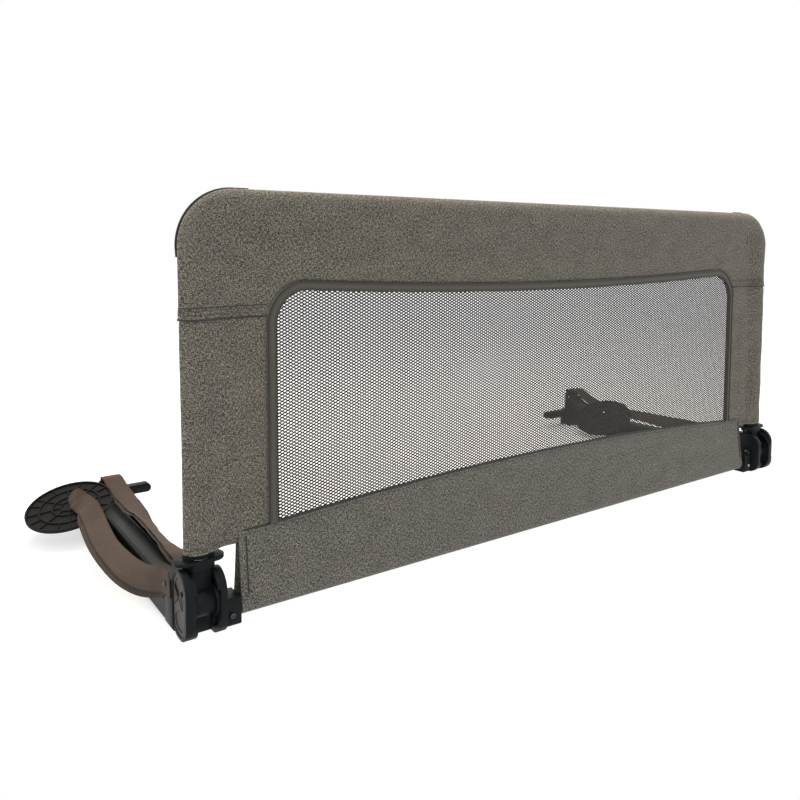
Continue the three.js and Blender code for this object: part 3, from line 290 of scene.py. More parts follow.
def moulded(name, dark, light, roughness, grain=0.12, shine=0.12):
    """Moulded plastic with a fine spark-eroded grain."""
    finish = Finish(name, Specular_IOR_Level=shine)
    place = finish.place()
    grit = finish.noise(place, (2600, 2600, 2600), 2.0, 0.6)
    flow = finish.noise(place, (28, 28, 28), 3.0, 0.55)
    finish.give(
        Base_Color=finish.between(flow, dark, light),
        Roughness=roughness + grit * 0.12 + flow * 0.1 - 0.1)
    return finish.relief(grit, grain * MM, 0.5).material


def powder_coat(name, dark, light):
    """Paint baked on the tubes, with a slight orange peel."""
    finish = Finish(name, Specular_IOR_Level=0.2)
    place = finish.place()
    peel = finish.noise(place, (900, 900, 900), 3.0, 0.5)
    wear = finish.noise(place, (90, 14, 90), 4.0, 0.6)
    finish.give(Base_Color=finish.between(wear, dark, light), Roughness=0.34 + peel * 0.14 + wear * 0.08)
    return finish.relief(peel, 0.08 * MM, 0.5).material


def plated_steel(name, colour, roughness):
    """Steel with fine lines along X and duller stains."""
    finish = Finish(name, Metallic=1.0)
    place = finish.place()
    lines = finish.noise(place, (300, 3000, 3000), 2.0, 0.6)
    stain = finish.noise(place, (160, 160, 160), 3.0, 0.6)
    dim = (*(c * 0.6 for c in colour[:3]), 1.0)
    finish.give(Base_Color=finish.between(stain, dim, colour), Roughness=roughness + lines * 0.2)
    return finish.relief(lines, 0.05 * MM, 0.4).material


def net_yarn(name, dark, light):
    """Soft knitted yarn with a slight twist."""
    finish = Finish(name, Sheen_Weight=0.2, Specular_IOR_Level=0.2)
    place = finish.place()
    twist = finish.noise(place, (900, 900, 2200), 2.0, 0.6)
    finish.give(Base_Color=finish.between(twist, dark, light), Roughness=0.75 + twist * 0.2)
    return finish.relief(twist, 0.3 * MM, 0.6).material


def sewing_thread(name, dark, light):
    finish = Finish(name, Sheen_Weight=0.2)
    twist = finish.noise(finish.place(), (1800, 1800, 1800), 1.0)
    finish.give(Base_Color=finish.between(twist, dark, light), Roughness=0.6 + twist * 0.2)
    return finish.relief(twist, 0.1 * MM, 0.5).material


def open_cell_foam(name, dark, light):
    """Foam with open cells, darker in their hollow middles as painted shade."""
    finish = Finish(name, Specular_IOR_Level=0.1)
    cell = finish.cells(finish.place(), (800, 800, 800))
    # The cells' hollow middles take the darker colour: painted shade
    finish.give(Base_Color=finish.between(cell, dark, light), Roughness=0.9 + cell * 0.1)
    return finish.relief(cell, 0.6 * MM, 0.8).material


cloth = heather_cloth(
    "heather_cloth", shade(36, 33, 28), shade(81, 78, 70), shade(137, 131, 119))
sleeve_cloth = heather_cloth(
    "heather_sleeve_cloth", shade(38, 36, 31), shade(82, 80, 73), shade(134, 130, 120))
tape = ribbed_tape("dark_tape", shade(52, 50, 44), shade(92, 89, 79))
webbing = strap_webbing("webbing", shade(20, 15, 12), shade(92, 77, 66))
# A darker copy of the webbing that paints shade, used for the return straps and the lower left layers
shaded_webbing = strap_webbing("webbing_painted_shade", shade(34, 29, 26), shade(72, 62, 55))
black_plastic = moulded("black_plastic", shade(11, 15, 16), shade(20, 25, 26), 0.42)
grey_plastic = moulded("grey_plastic", shade(50, 50, 48), shade(62, 62, 58), 0.4)
disc_plastic = moulded("disc_plastic", shade(14, 14, 14), shade(24, 24, 23), 0.5, 0.2, 0.1)
tube_coat = powder_coat("tube_coat", shade(26, 28, 26), shade(38, 39, 36))
bright_steel = plated_steel("bright_steel", shade(205, 207, 210), 0.22)
dark_steel = plated_steel("dark_steel", shade(90, 92, 94), 0.32)
net = net_yarn("net_yarn", shade(19, 18, 17), shade(40, 38, 35))
thread = sewing_thread("sewing_thread", shade(30, 28, 25), shade(58, 54, 48))
# Dark cloth for piping and edgings, also used for the painted shade along the laps' folds
piping_and_shade_cloth = sewing_thread("dark_piping_and_shade", shade(17, 17, 16), shade(33, 32, 29))
foam = open_cell_foam("foam", shade(170, 167, 158), shade(214, 211, 203))


# Mesh making


def new_piece(name, points, faces, material, body=None, slot=None, smooth=True):
    mesh = bpy.data.meshes.new(name)
    mesh.from_pydata([tuple(p) for p in points], [], [tuple(f) for f in faces])
    mesh.validate()
    piece = bpy.data.objects.new(name, mesh)
    bpy.context.scene.collection.objects.link(piece)
    piece.matrix_world = Matrix.Translation((RAIL_MIDDLE, 0, 0))
    mesh.materials.append(material)
    if smooth:
        mesh.shade_smooth()
    if body:
        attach(piece, body)
    return piece


def record_lay(piece, lay):
    """Keeps each point's place on the flat cut, which the weave follows."""
    flat = np.zeros((len(piece.data.vertices), 3), np.float32)
    flat[:, :2] = np.asarray(lay, np.float32).reshape(-1, 2)
    layer = piece.data.attributes.new("lay", "FLOAT_VECTOR", "POINT")
    layer.data.foreach_set("vector", flat.ravel())


def record_strip(piece, reach, across):
    """Keeps the lay of a strip, from the distances of its points along it and across it."""
    record_lay(piece, np.stack(np.broadcast_arrays(reach[:, None], across[None]), -1))


def grid_faces(rows, columns, around=False, ends=False):
    """Quads over rows of points, joined round each row and closed at both ends if asked."""
    across = columns if around else columns - 1
    faces = []
    for row in range(rows - 1):
        for column in range(across):
            a = row * columns + column
            b = row * columns + (column + 1) % columns
            faces.append((a, b, b + columns, a + columns))
    if ends:
        faces.append(tuple(range(columns))[::-1])
        faces.append(tuple((rows - 1) * columns + c for c in range(columns)))
    return faces


def moved_on(faces, base):
    """The same faces over points that start at base."""
    return [tuple(base + i for i in face) for face in faces]


def facing_out(piece):
    """Turns every face of a closed piece outwards."""
    mesh = bmesh.new()
    mesh.from_mesh(piece.data)
    bmesh.ops.recalc_face_normals(mesh, faces=mesh.faces)
    mesh.to_mesh(piece.data)
    mesh.free()


def apply_all(piece):
    """Turns a piece's modifiers into its mesh."""
    graph = bpy.context.evaluated_depsgraph_get()
    made = bpy.data.meshes.new_from_object(piece.evaluated_get(graph))
    piece.modifiers.clear()
    piece.data = made


def finer(piece):
    """Splits each face in four, smoothly."""
    split = piece.modifiers.new("finer", "SUBSURF")
    split.levels = 1
    split.render_levels = 1
    apply_all(piece)


def reach_along(points):
    """How far each point lies along its line."""
    return np.concatenate([[0], np.cumsum(np.linalg.norm(np.diff(points, axis=0), axis=1))])


def at_reach(where, reach, values):
    """A line's places, or other values along it, at given distances along it."""
    return np.stack([np.interp(where, reach, column) for column in values.T], 1)


def evenly(points, step):
    """The same line with points every step along it."""
    points = np.asarray(points, float)
    reach = reach_along(points)
    count = max(2, int(round(reach[-1] / step)) + 1)
    return at_reach(np.linspace(0, reach[-1], count), reach, points)


def unit(vectors):
    return vectors / np.maximum(np.linalg.norm(vectors, axis=-1, keepdims=True), 1e-12)


def sweep(points, up, outline):
    """Rows of an outline, given sideways and upwards, carried along a line."""
    along = unit(np.gradient(points, axis=0))
    side = unit(np.cross(np.broadcast_to(np.asarray(up, float), points.shape), along))
    top = unit(np.cross(along, side))
    return points[:, None] + side[:, None] * outline[None, :, :1] + top[:, None] * outline[None, :, 1:2]


def strip_piece(name, rows, reach, across, material, **ride):
    """A closed piece from rows of points round it, with its lay along and across."""
    faces = grid_faces(*rows.shape[:2], around=True, ends=True)
    piece = new_piece(name, rows.reshape(-1, 3), faces, material, **ride)
    facing_out(piece)
    record_strip(piece, reach, across)
    return piece


def swept_piece(name, points, up, outline, material, **ride):
    rows = sweep(points, up, outline)
    return strip_piece(name, rows, reach_along(points), outline[:, 0], material, **ride)


def rail_trim(name, points, up, outline):
    """A dark edging sewn along a line of the rail's cover; on the laps' folds the same cord is painted
    shade.
    """
    swept_piece(name, points, up, outline, piping_and_shade_cloth, body="rail", slot="dark_tape")


def round_outline(radius, sides=8):
    turns = np.arange(sides) * 2 * math.pi / sides
    return np.stack([np.cos(turns), np.sin(turns)], 1) * radius


def pillow_outline(width, height, sides=20, power=0.35):
    """A flat outline with full rounded edges, squarer with a lower power."""
    turns = (np.arange(sides) + 0.5) * 2 * math.pi / sides
    circle = np.stack([np.cos(turns), np.sin(turns)], 1)
    return np.sign(circle) * np.abs(circle) ** power * (width / 2, height / 2)


def surface_of(piece):
    graph = bpy.context.evaluated_depsgraph_get()
    return BVHTree.FromObject(piece, graph)


def laid_on(surface, points, lift):
    """The points moved to the nearest place on a surface and raised from it, with its normals."""
    placed, normals = [], []
    for point in points:
        near, normal, _, _ = surface.find_nearest(Vector(point))
        placed.append(near + normal * lift)
        normals.append(normal)
    return np.array(placed), np.array(normals)


def stitch_row(points, normals):
    """Stitches along a line, each a short spindle that dips into the cloth at its ends."""
    pitch, length, radius = 4 * MM, 2.9 * MM, 0.55 * MM
    sides, wide = 5, 1.25
    shape = ((-1 / 2, 0.45, -0.9), (-1 / 4, 1, 0), (1 / 4, 1, 0), (1 / 2, 0.45, -0.9))
    reach = reach_along(points)
    verts, faces = [], []
    for middle in np.arange(pitch / 2, reach[-1] - pitch / 2, pitch):
        spots = at_reach([middle + length * share for share, _, _ in shape], reach, points)
        up = unit(at_reach([middle], reach, normals)[0])
        side = np.cross(up, unit(spots[-1] - spots[0]))
        base = len(verts)
        for spot, (_, thick, drop) in zip(spots, shape):
            for turn in np.arange(sides) * 2 * math.pi / sides:
                out = side * math.cos(turn) * wide + up * math.sin(turn)
                verts.append(spot + up * drop * radius + out * radius * thick)
        faces += moved_on(grid_faces(len(shape), sides, around=True, ends=True), base)
    return verts, faces


def sewn(name, rows, body):
    """One piece of thread that holds several rows of stitches."""
    verts, faces = [], []
    for row_verts, row_faces in rows:
        faces += moved_on(row_faces, len(verts))
        verts += list(row_verts)
    return new_piece(name, verts, faces, thread, body=body)


def ripple(points, size, seed):
    """Smooth random heights, mostly from -1 to 1, over points, from a few seeded waves."""
    random = np.random.default_rng(seed)
    total = np.zeros(len(points))
    for _ in range(14):
        wave = random.normal(size=3)
        wave /= np.linalg.norm(wave) * size * random.uniform(0.6, 1.6)
        total += np.sin(points @ wave * 2 * math.pi + random.uniform(0, 2 * math.pi))
    return total / 5


def push(piece, amount):
    """Moves each point along its normal."""
    mesh = piece.data
    count = len(mesh.vertices)
    points, normals = np.zeros(count * 3), np.zeros(count * 3)
    mesh.vertices.foreach_get("co", points)
    mesh.vertices.foreach_get("normal", normals)
    points = points.reshape(-1, 3) + normals.reshape(-1, 3) * np.asarray(amount)[:, None]
    mesh.vertices.foreach_set("co", points.ravel())
    mesh.update()


def points_of(piece):
    points = np.zeros(len(piece.data.vertices) * 3)
    piece.data.vertices.foreach_get("co", points)
    return points.reshape(-1, 3)


def blown_up(piece, held, most):
    """Fills a sewn cover by cloth simulation, seams held and no point moved further than most."""
    steps = 16
    rest = points_of(piece)
    group = piece.vertex_groups.new(name="sewn")
    group.add([int(k) for k in np.flatnonzero(held)], 1.0, "REPLACE")
    cloth_maker = piece.modifiers.new("filling", "CLOTH")
    settings = cloth_maker.settings
    settings.quality = 6
    settings.mass = 0.25
    settings.tension_stiffness = 18
    settings.compression_stiffness = 18
    settings.bending_stiffness = 0.6
    settings.shrink_min = -0.006
    settings.vertex_group_mass = "sewn"
    settings.use_pressure = True
    settings.uniform_pressure_force = 2.5
    settings.effector_weights.gravity = 0
    cloth_maker.collision_settings.use_collision = False
    cloth_maker.point_cache.frame_start = 1
    cloth_maker.point_cache.frame_end = steps
    scene = bpy.context.scene
    for number in range(1, steps + 1):
        scene.frame_set(number)
    graph = bpy.context.evaluated_depsgraph_get()
    blown = piece.evaluated_get(graph).to_mesh()
    moved = np.zeros(len(rest) * 3)
    blown.vertices.foreach_get("co", moved)
    piece.evaluated_get(graph).to_mesh_clear()
    piece.modifiers.clear()
    scene.frame_set(1)
    shift = moved.reshape(-1, 3) - rest
    far = np.linalg.norm(shift, axis=1)
    shift *= (most * np.tanh(far / most) / np.maximum(far, 1e-9))[:, None]
    piece.data.vertices.foreach_set("co", (rest + shift).ravel())
    piece.data.update()


# Camera, light and floor


def camera():
    """The photograph's view: metres aside from the rail's middle, in front of it and up, and degrees of
    looking down and turned to the right."""
    aside, away, high = 1.09894, 1.3116, 0.55592
    down, turned = 4.07, 34.22
    lens = bpy.data.cameras.new("camera")
    lens.sensor_width = 36
    lens.lens = 33.674
    lens.shift_x = 0.02
    lens.shift_y = -0.1216
    lens.clip_start = 0.05
    lens.clip_end = 100
    eye = bpy.data.objects.new("camera", lens)
    eye.location = (RAIL_MIDDLE - aside, -away, high)
    eye.rotation_euler = (math.radians(90 - down), 0, math.radians(-turned))
    bpy.context.scene.collection.objects.link(eye)
    bpy.context.scene.camera = eye


def area_light(name, place, aim, size, power, colour=(1, 1, 1)):
    lamp = bpy.data.lights.new(name, "AREA")
    lamp.shape = "RECTANGLE"
    lamp.size, lamp.size_y = size
    lamp.energy = power
    lamp.color = colour
    holder = bpy.data.objects.new(name, lamp)
    holder.location = place
    holder.rotation_euler = (Vector(aim) - Vector(place)).to_track_quat("-Z", "Y").to_euler()
    bpy.context.scene.collection.objects.link(holder)


def studio():
    """White surroundings, two soft lights, and a floor that ends behind the rail, which folds down past
    its front edge."""
    world = bpy.data.worlds.new("studio")
    bpy.context.scene.world = world
    world.use_nodes = True
    sky = world.node_tree.nodes["Background"]
    sky.inputs["Color"].default_value = (1, 1, 1, 1)
    sky.inputs["Strength"].default_value = 1.0
    area_light("key", (-1.6, -2.6, 2.6), (0, -0.28, 0.35), (2.2, 1.6), 30)
    area_light("top", (0.2, 0.3, 2.6), (0, -0.28, 0.5), (3.0, 1.2), 80, (1, 0.86, 0.66))
    mesh = bpy.data.meshes.new("floor")
    far, front = 30, cover_high.y + 8 * MM
    corners = [(-far, front, 0), (far, front, 0), (far, far, 0), (-far, far, 0)]
    mesh.from_pydata(corners, [], [(0, 1, 2, 3)])
    floor = bpy.data.objects.new("floor", mesh)
    bpy.context.scene.collection.objects.link(floor)
    paint = Finish("floor_paint", Roughness=0.9, Specular_IOR_Level=0.1, Emission_Strength=0.62)
    spread = paint.noise(paint.place(), (3, 3, 3), 2.0)
    paint.give(Base_Color=paint.between(spread, (0.48, 0.48, 0.48, 1), (0.52, 0.52, 0.52, 1)),
               Emission_Color=paint.between(spread, (0.98, 0.98, 0.98, 1), (1, 1, 1, 1)))
    mesh.materials.append(paint.material)
    bpy.context.scene.view_settings.view_transform = "Standard"


# Window outline


def sleeve_top_at(x):
    """Height of the sleeve's top edge, which the net pulls up in a bow."""
    return SLEEVE_TOP + SLEEVE_BOW * np.maximum(0, 1 - (np.asarray(x) / SLEEVE_BOW_HALF) ** 2)


def window_top_at(x):
    share = np.minimum(1, np.abs(x) / (WINDOW_HALF - WINDOW_CORNER))
    return WINDOW_TOP - WINDOW_SAG * (1 - share**2)


def window_line(out, low, narrow=0.0):
    """The window's edge moved outwards, from low on the right round the top to low on the left, and
    further out on the right by narrow."""
    radius = WINDOW_CORNER + out
    centre_x, centre_z = WINDOW_HALF - WINDOW_CORNER, WINDOW_TOP - WINDOW_CORNER
    turns = np.linspace(0, math.pi / 2, 13)
    side = 1 + len(turns)
    corner = np.stack([centre_x + radius * np.cos(turns), centre_z + radius * np.sin(turns)], 1)
    x = np.linspace(centre_x, 0, 60)[1:]
    half = np.concatenate([[[WINDOW_HALF + out, low]], corner, np.stack([x, window_top_at(x) + out], 1)])
    right, left = half.copy(), half[:-1][::-1] * (-1, 1)
    right[:side, 0] += narrow * np.clip((WINDOW_TOP - right[:side, 1]) / WINDOW_CORNER, 0, 1)
    left[:, 0] += WINDOW_LEFT_IN * np.clip(-left[:, 0] / WINDOW_HALF, 0, 1) ** 4
    return evenly(np.concatenate([right, left]), WINDOW_STEP)


def upright(line, y=PLANE):
    """A line drawn in X and Z, set in the plane of the rail."""
    return np.stack([line[:, 0], np.full(len(line), y), line[:, 1]], 1)


# Padded cover


def cover_profile(length, flat, inset=0.0):
    """Distances in from the cover's outer edge and half thicknesses there, from the nose over the
    padding, which ends at flat, to the sewn edge."""
    turns = np.linspace(0, math.pi / 2, 9)
    nose = TUBE_INSET * (1 - np.cos(turns))
    nose_half = PAD_HALF * np.sin(turns) ** 0.9
    share = np.linspace(0, 1, 9)[1:]
    slope = TUBE_INSET + share * (flat - TUBE_INSET)
    slope_half = EDGE_HALF + (PAD_HALF - EDGE_HALF) * (0.5 + 0.5 * np.cos(math.pi * share)) ** 0.7
    rest = np.linspace(flat, length, 6)[1:]
    distance = np.concatenate([nose, slope, rest])
    half = np.concatenate([nose_half, slope_half, np.full(len(rest), EDGE_HALF)])
    return distance + inset * (distance < TUBE_INSET), np.maximum(half - inset, 0.5 * MM)


def cover_row(outer, inner, normal, flat, inset=0.0):
    """One closed row round the cover, and where each of its points lies on the flat cut."""
    outer, inner, normal = (np.asarray(v, float) for v in (outer, inner, normal))
    length = np.linalg.norm(inner - outer)
    along = (inner - outer) / length
    slant = -1 / float(along @ normal)
    distance, half = cover_profile(length / slant, flat, inset)
    half[0] = 0
    distance = distance * slant
    flat_place = outer + along * np.maximum(distance, TUBE_INSET * slant)[:, None]
    turn = np.clip(1 - distance / (TUBE_INSET * slant), 0, 1)
    lay = flat_place + normal * (turn * TUBE_INSET * 1.4)[:, None]
    place = outer + along * distance[:, None]
    front = np.stack([place[:, 0], PLANE - half, place[:, 1]], 1)
    back = np.stack([place[:, 0], PLANE + half, place[:, 1]], 1)
    return np.concatenate([front, back[1:][::-1]]), np.concatenate([lay, lay[1:][::-1]])


def window_side(direction):
    """How far the cover's inner edge lies from the rail's middle."""
    return WINDOW_HALF + COVER_FROM_WINDOW - (WINDOW_LEFT_IN if direction < 0 else 0)


def side_row(z, direction, inset=0.0):
    inner = direction * window_side(direction)
    return cover_row((direction * RAIL_HALF, z), (inner, z), (direction, 0), SIDE_PADDING, inset)


def lap_inset(z, direction):
    """The lap stands a little proud of the cover above it."""
    return 0.0 if z < LAPS[direction][1] else TOP_INSET


def end_rows(direction):
    """Rows of the top cover from the lap at one end up round the corner."""
    inner_x = window_side(direction)
    inner_corner = WINDOW_CORNER + COVER_FROM_WINDOW
    inner_cz = WINDOW_TOP - WINDOW_CORNER
    outer_cx, outer_cz = RAIL_HALF - COVER_CORNER, RAIL_TOP - COVER_CORNER
    low, high = LAPS[direction]
    rows = [side_row(low + 7 * MM, direction, 1.6 * MM), side_row(low + 0.6 * MM, direction, 1.2 * MM)]
    for z in [*np.linspace(low, high, 6), *np.linspace(high + 1.5 * MM, outer_cz, 12)]:
        inner_z = min(z, high + (z - high) * (inner_cz - high) / (outer_cz - high), inner_cz)
        outer, inner = (direction * RAIL_HALF, z), (direction * inner_x, inner_z)
        rows.append(cover_row(outer, inner, (direction, 0), SIDE_PADDING, lap_inset(z, direction)))
    outer_centre = np.array([direction * outer_cx, outer_cz])
    inner_centre = np.array([direction * (inner_x - inner_corner), inner_cz])
    for share in np.linspace(0, 1, 25)[1:]:
        turn = share * math.pi / 2
        normal = np.array([direction * math.cos(turn), math.sin(turn)])
        outer = outer_centre + COVER_CORNER * normal
        inner = inner_centre + inner_corner * normal
        padding = SIDE_PADDING + (TOP_PADDING - SIDE_PADDING) * share
        rows.append(cover_row(outer, inner, normal, padding, TOP_INSET))
    return rows


def top_rows():
    """Rows of the top cover from one lap round both corners to the other."""
    outer_cx = RAIL_HALF - COVER_CORNER
    inner_cx = WINDOW_HALF - WINDOW_CORNER
    rows = end_rows(1)
    for x in np.linspace(outer_cx, -outer_cx, 170)[1:-1]:
        inner = x * inner_cx / outer_cx
        inner += WINDOW_LEFT_IN * max(0, -x / outer_cx)
        top = float(window_top_at(inner)) + COVER_FROM_WINDOW
        rows.append(cover_row((x, RAIL_TOP), (inner, top), (0, 1), TOP_PADDING, TOP_INSET))
    return rows + end_rows(-1)[::-1]


def side_rows(direction):
    """Rows of a side panel from inside its turned-in hem up to where it ends under the lap."""
    turned_in = ((16 * MM, 3 * MM), (2 * MM, 2.6 * MM), (0.4 * MM, 1.6 * MM))
    rows = [side_row(HEM + up, direction, inset) for up, inset in turned_in]
    low = LAPS[direction][0]
    for z in [HEM, HEM + 1 * MM, *np.linspace(HEM + 4 * MM, low + 1 * MM, 46), low + 6 * MM]:
        rows.append(side_row(z, direction, 1.0 * MM if z < low else 1.9 * MM))
    return rows


def cover_piece(name, rows, held_first, held_last, seed, node):
    """A padded cover, held by its sewn edge and by its first and last rows while it is filled."""
    columns = len(rows[0][0])
    points = np.concatenate([row for row, _ in rows])
    piece = new_piece(name, points, grid_faces(len(rows), columns, True), cloth, slot="heather_cloth")
    record_lay(piece, np.concatenate([lay for _, lay in rows]))
    facing_out(piece)
    column = np.tile(np.arange(columns), len(rows))
    from_edge = np.abs(column - columns / 2 + 0.5)
    row = np.repeat(np.arange(len(rows)), columns)
    held = (from_edge < 3) | (row < held_first) | (row >= len(rows) - held_last)
    nose = np.minimum(column, columns - column) / (columns // 2)
    blown_up(piece, held, (0.6 + 3.4 * np.clip(nose * 2.2 - 0.5, 0, 1)) * MM)
    finer(piece)
    place = points_of(piece)
    creases = ripple(place * (1, 0.3, 1), 0.09, seed) * 0.7 * MM
    creases += ripple(place * (1, 0.3, 1.6), 0.032, seed + 1) * 0.22 * MM
    push(piece, creases * np.clip((np.abs(place[:, 1] - PLANE) - 3 * MM) / (4 * MM), 0.15, 1))
    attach(piece, "rail")
    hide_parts(node)
    return piece


def seam_loop(z, direction, lift, surface):
    """A line across a side panel's front and back at one height, and its normals."""
    row, _ = side_row(z, direction)
    return laid_on(surface, evenly(row, 3 * MM), lift)


def loop_stitches(z, direction, surface):
    """Two rows of stitches at one height, on a side panel's front and on its back."""
    points, normals = seam_loop(z, direction, STITCH_LIFT, surface)
    half = len(points) // 2
    return [stitch_row(points[:half], normals[:half]), stitch_row(points[half:], normals[half:])]


def covers():
    """The padded top and side panels, with the lap seams and hems that join and end them."""
    top = cover_piece("padded_cover_top", top_rows(), 4, 4, 3, "cover_top")
    surface = surface_of(top)
    threads = []
    for side, direction in SIDES.items():
        low, high = LAPS[direction]
        for share in (0.42, 0.77):
            threads += loop_stitches(low + share * (high - low), direction, surface)
        # The dark cord on each lap's fold is painted shade under the lap's edge; a thinner one runs
        # along its upper edge
        for label, z, radius in (("fold", low, 1.6 * MM), ("ridge", high, 0.8 * MM)):
            points, _ = seam_loop(z + 0.3 * MM, direction, 0.1 * MM, surface)
            points = np.concatenate([points, points[:1]])
            rail_trim(f"lap_{label}_{side}", points, (0, 0, 1), round_outline(radius))
        seed = 7 + direction
        rows = side_rows(direction)
        piece = cover_piece(f"padded_cover_{side}", rows, 5, 4, seed, f"cover_side_{side}")
        sewn(f"hem_stitches_{side}", loop_stitches(HEM + 8 * MM, direction, surface_of(piece)), "rail")
    sewn("lap_stitches", threads, "rail")


def edge_piping():
    """The piped seam along the rear outer edge of the top cover's corners."""
    inset = 2.5 * MM
    turns = np.linspace(0, math.pi / 2, 24)
    radius = COVER_CORNER - inset * (1 - turns / (math.pi / 2))
    cx, cz = RAIL_HALF - COVER_CORNER, RAIL_TOP - COVER_CORNER
    corner = np.stack([cx + radius * np.cos(turns), cz + radius * np.sin(turns)], 1)
    start, end = (RAIL_HALF - 3.5 * MM, cz - 14 * MM), (cx - 28 * MM, RAIL_TOP)
    half = np.concatenate([[start], corner, [end]])
    for side, direction in SIDES.items():
        line = upright(evenly(half * (direction, 1), 4 * MM), PLANE + 12 * MM)
        outline = pillow_outline(8.4 * MM, 2.2 * MM, 12, 0.7) - (direction * inset, 0)
        rail_trim(f"edge_piping_{side}", line, (0, 1, 0), outline)


# Binding and net

# Half the pitch of the net's staggered diamonds, and half the size of the hole in each
NET_HALF_X, NET_HALF_Z = 5.0 * MM, 2.55 * MM
NET_HOLE_X, NET_HOLE_Z = 3.0 * MM, 1.54 * MM


def binding():
    """Tape over the window's edge, a little narrower on the right, with its edgings and stitches."""
    low = SLEEVE_TOP + 0.5 * MM
    narrow = 3.5 * MM
    fade = 60 * MM
    outline = pillow_outline(TAPE_WIDTH, TAPE_THICK)
    line = upright(window_line(TAPE_WIDTH / 2, low, narrow / 2))
    share = np.clip((line[:, 0] - WINDOW_HALF + fade) / fade, 0, 1)[:, None, None]
    slim = 1 - share * narrow / TAPE_WIDTH
    middle = line[:, None]
    flat = (sweep(line, (0, 1, 0), outline) - middle) * np.concatenate([slim, slim * 0 + 1, slim], 2)
    reach = np.arange(len(line)) * WINDOW_STEP
    piece = strip_piece("binding_tape", middle + flat, reach, outline[:, 0], tape,
                        body="rail", slot="dark_tape")
    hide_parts("mesh_binding")
    edges = (("outer", TAPE_WIDTH - 0.6 * MM, 1.2 * MM, 0), ("inner", 0.7 * MM, 0.9 * MM, narrow))
    for label, out, radius, aside in edges:
        for face, y in (("front", -1), ("back", 1)):
            edge = upright(window_line(out, low, aside), PLANE + y * (TAPE_THICK / 2 + 0.2 * MM))
            rail_trim(f"binding_edge_{label}_{face}", edge, (0, 1, 0), round_outline(radius))
    rows = []
    for y in (-1, 1):
        for out, aside in ((3.6 * MM, narrow), (11.0 * MM, 0)):
            sewing = window_line(out, low + 2 * MM, aside)
            points = upright(sewing, PLANE + y * (TAPE_THICK / 2 + 0.1 * MM))
            rows.append(stitch_row(points, np.tile((0, y, 0), (len(points), 1))))
    sewn("binding_stitches", rows, "rail")


def net_cells(x_low, x_high):
    """Middles of the net's staggered diamond holes inside the window, from x_low to x_high."""
    tuck, tuck_low = 6 * MM, 14 * MM
    low, high = SLEEVE_TOP - tuck_low, WINDOW_TOP + tuck
    i = np.arange(round(-WINDOW_HALF / NET_HALF_X) - 2, round(WINDOW_HALF / NET_HALF_X) + 3)
    j = np.arange(0, int((high - low) / NET_HALF_Z) + 1)
    i, j = (count.ravel() for count in np.meshgrid(i, j))
    staggered = (i + j) % 2 == 0
    x, z = i[staggered] * NET_HALF_X, low + j[staggered] * NET_HALF_Z
    inside = (np.abs(x) < WINDOW_HALF + tuck) & (z < window_top_at(x) + tuck)
    inside &= z > sleeve_top_at(x) - tuck_low
    corner_x, corner_z = WINDOW_HALF - WINDOW_CORNER, WINDOW_TOP - WINDOW_CORNER
    past = (np.abs(x) > corner_x) & (z > corner_z)
    inside &= ~past | (np.hypot(np.abs(x) - corner_x, z - corner_z) < WINDOW_CORNER + tuck)
    inside &= (x >= x_low) & (x < x_high)
    return np.stack([x[inside], z[inside]], 1)


def net_panel(name, x_low, x_high):
    """A stretch of net: round each diamond hole four flat yarns, which share their outer points with
    those of the next holes."""
    half_y, crown = 0.45 * MM, 0.12 * MM
    cells = net_cells(x_low, x_high)
    corners = np.array([(1, 0), (0, 1), (-1, 0), (0, -1)], float)
    ring = np.concatenate([corners * (NET_HALF_X, NET_HALF_Z), corners * (NET_HOLE_X, NET_HOLE_Z)])
    flat = cells[:, None] + ring[None]
    front = np.stack([flat[..., 0], np.full(flat.shape[:2], PLANE - half_y), flat[..., 1]], 2)
    back = front + (0, 2 * half_y, 0)
    front[:, :4, 1] += crown
    back[:, :4, 1] -= crown
    points = np.concatenate([front, back], 1)
    per_cell = points.shape[1]
    points = points.reshape(-1, 3)
    points[:, 1] += ripple(points * (1, 0, 1), 0.22, 5) * 0.8 * MM
    pattern = []
    for k in range(4):
        n = (k + 1) % 4
        pattern += [(k, n, 4 + n, 4 + k), (8 + n, 8 + k, 12 + k, 12 + n), (4 + k, 4 + n, 12 + n, 12 + k)]
    faces = (np.arange(len(cells))[:, None, None] * per_cell + np.array(pattern)[None]).reshape(-1, 4)
    key = np.round(points / (0.05 * MM)).astype(np.int64)
    _, first, again = np.unique(key, axis=0, return_index=True, return_inverse=True)
    faces = again.ravel()[faces]
    return new_piece(name, points[first], faces, net, body="rail", slot="net_cloth", smooth=False)


def window_net():
    """The net in three panels side by side."""
    third, aside = WINDOW_HALF / 3, 0.1 * MM
    cuts = (-WINDOW_HALF * 2, -third - aside, third - aside, WINDOW_HALF * 2)
    for label, x_low, x_high in zip(("left", "middle", "right"), cuts, cuts[1:]):
        panel = net_panel(f"window_net_{label}", x_low, x_high)
        if label == "middle":
            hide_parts("mesh_window")


# Sleeve band round the cross tube


def sleeve_section(top, inset=0.0, hem=0.0):
    """Places across and up round the sleeve, from its front top edge under the tube to its rear one,
    inset by the cloth's thickness, and by the hem's round the tube."""
    radius, mouth = SLEEVE_RADIUS - inset - hem, SLEEVE_MOUTH - inset
    drop = np.linspace(top, CROSS_TUBE, 22)[:-1]
    share = (top - drop) / (top - CROSS_TUBE)
    sheet = mouth + (radius - mouth) * share**1.35
    turns = np.linspace(0, math.pi, 17)
    tube_y = -radius * np.cos(turns)
    tube_z = CROSS_TUBE - radius * np.sin(turns)
    front = np.stack([-sheet, drop], 1)
    back = np.stack([sheet, drop], 1)[::-1]
    return np.concatenate([front, np.stack([tube_y, tube_z], 1), back])


def down_sleeve(z, top):
    """A wave over the sleeve's cloth, 0 at its top edge and on the tube and 1 between them."""
    return np.sin(np.clip((top - z) / (top - CROSS_TUBE), 0, 1) * math.pi)


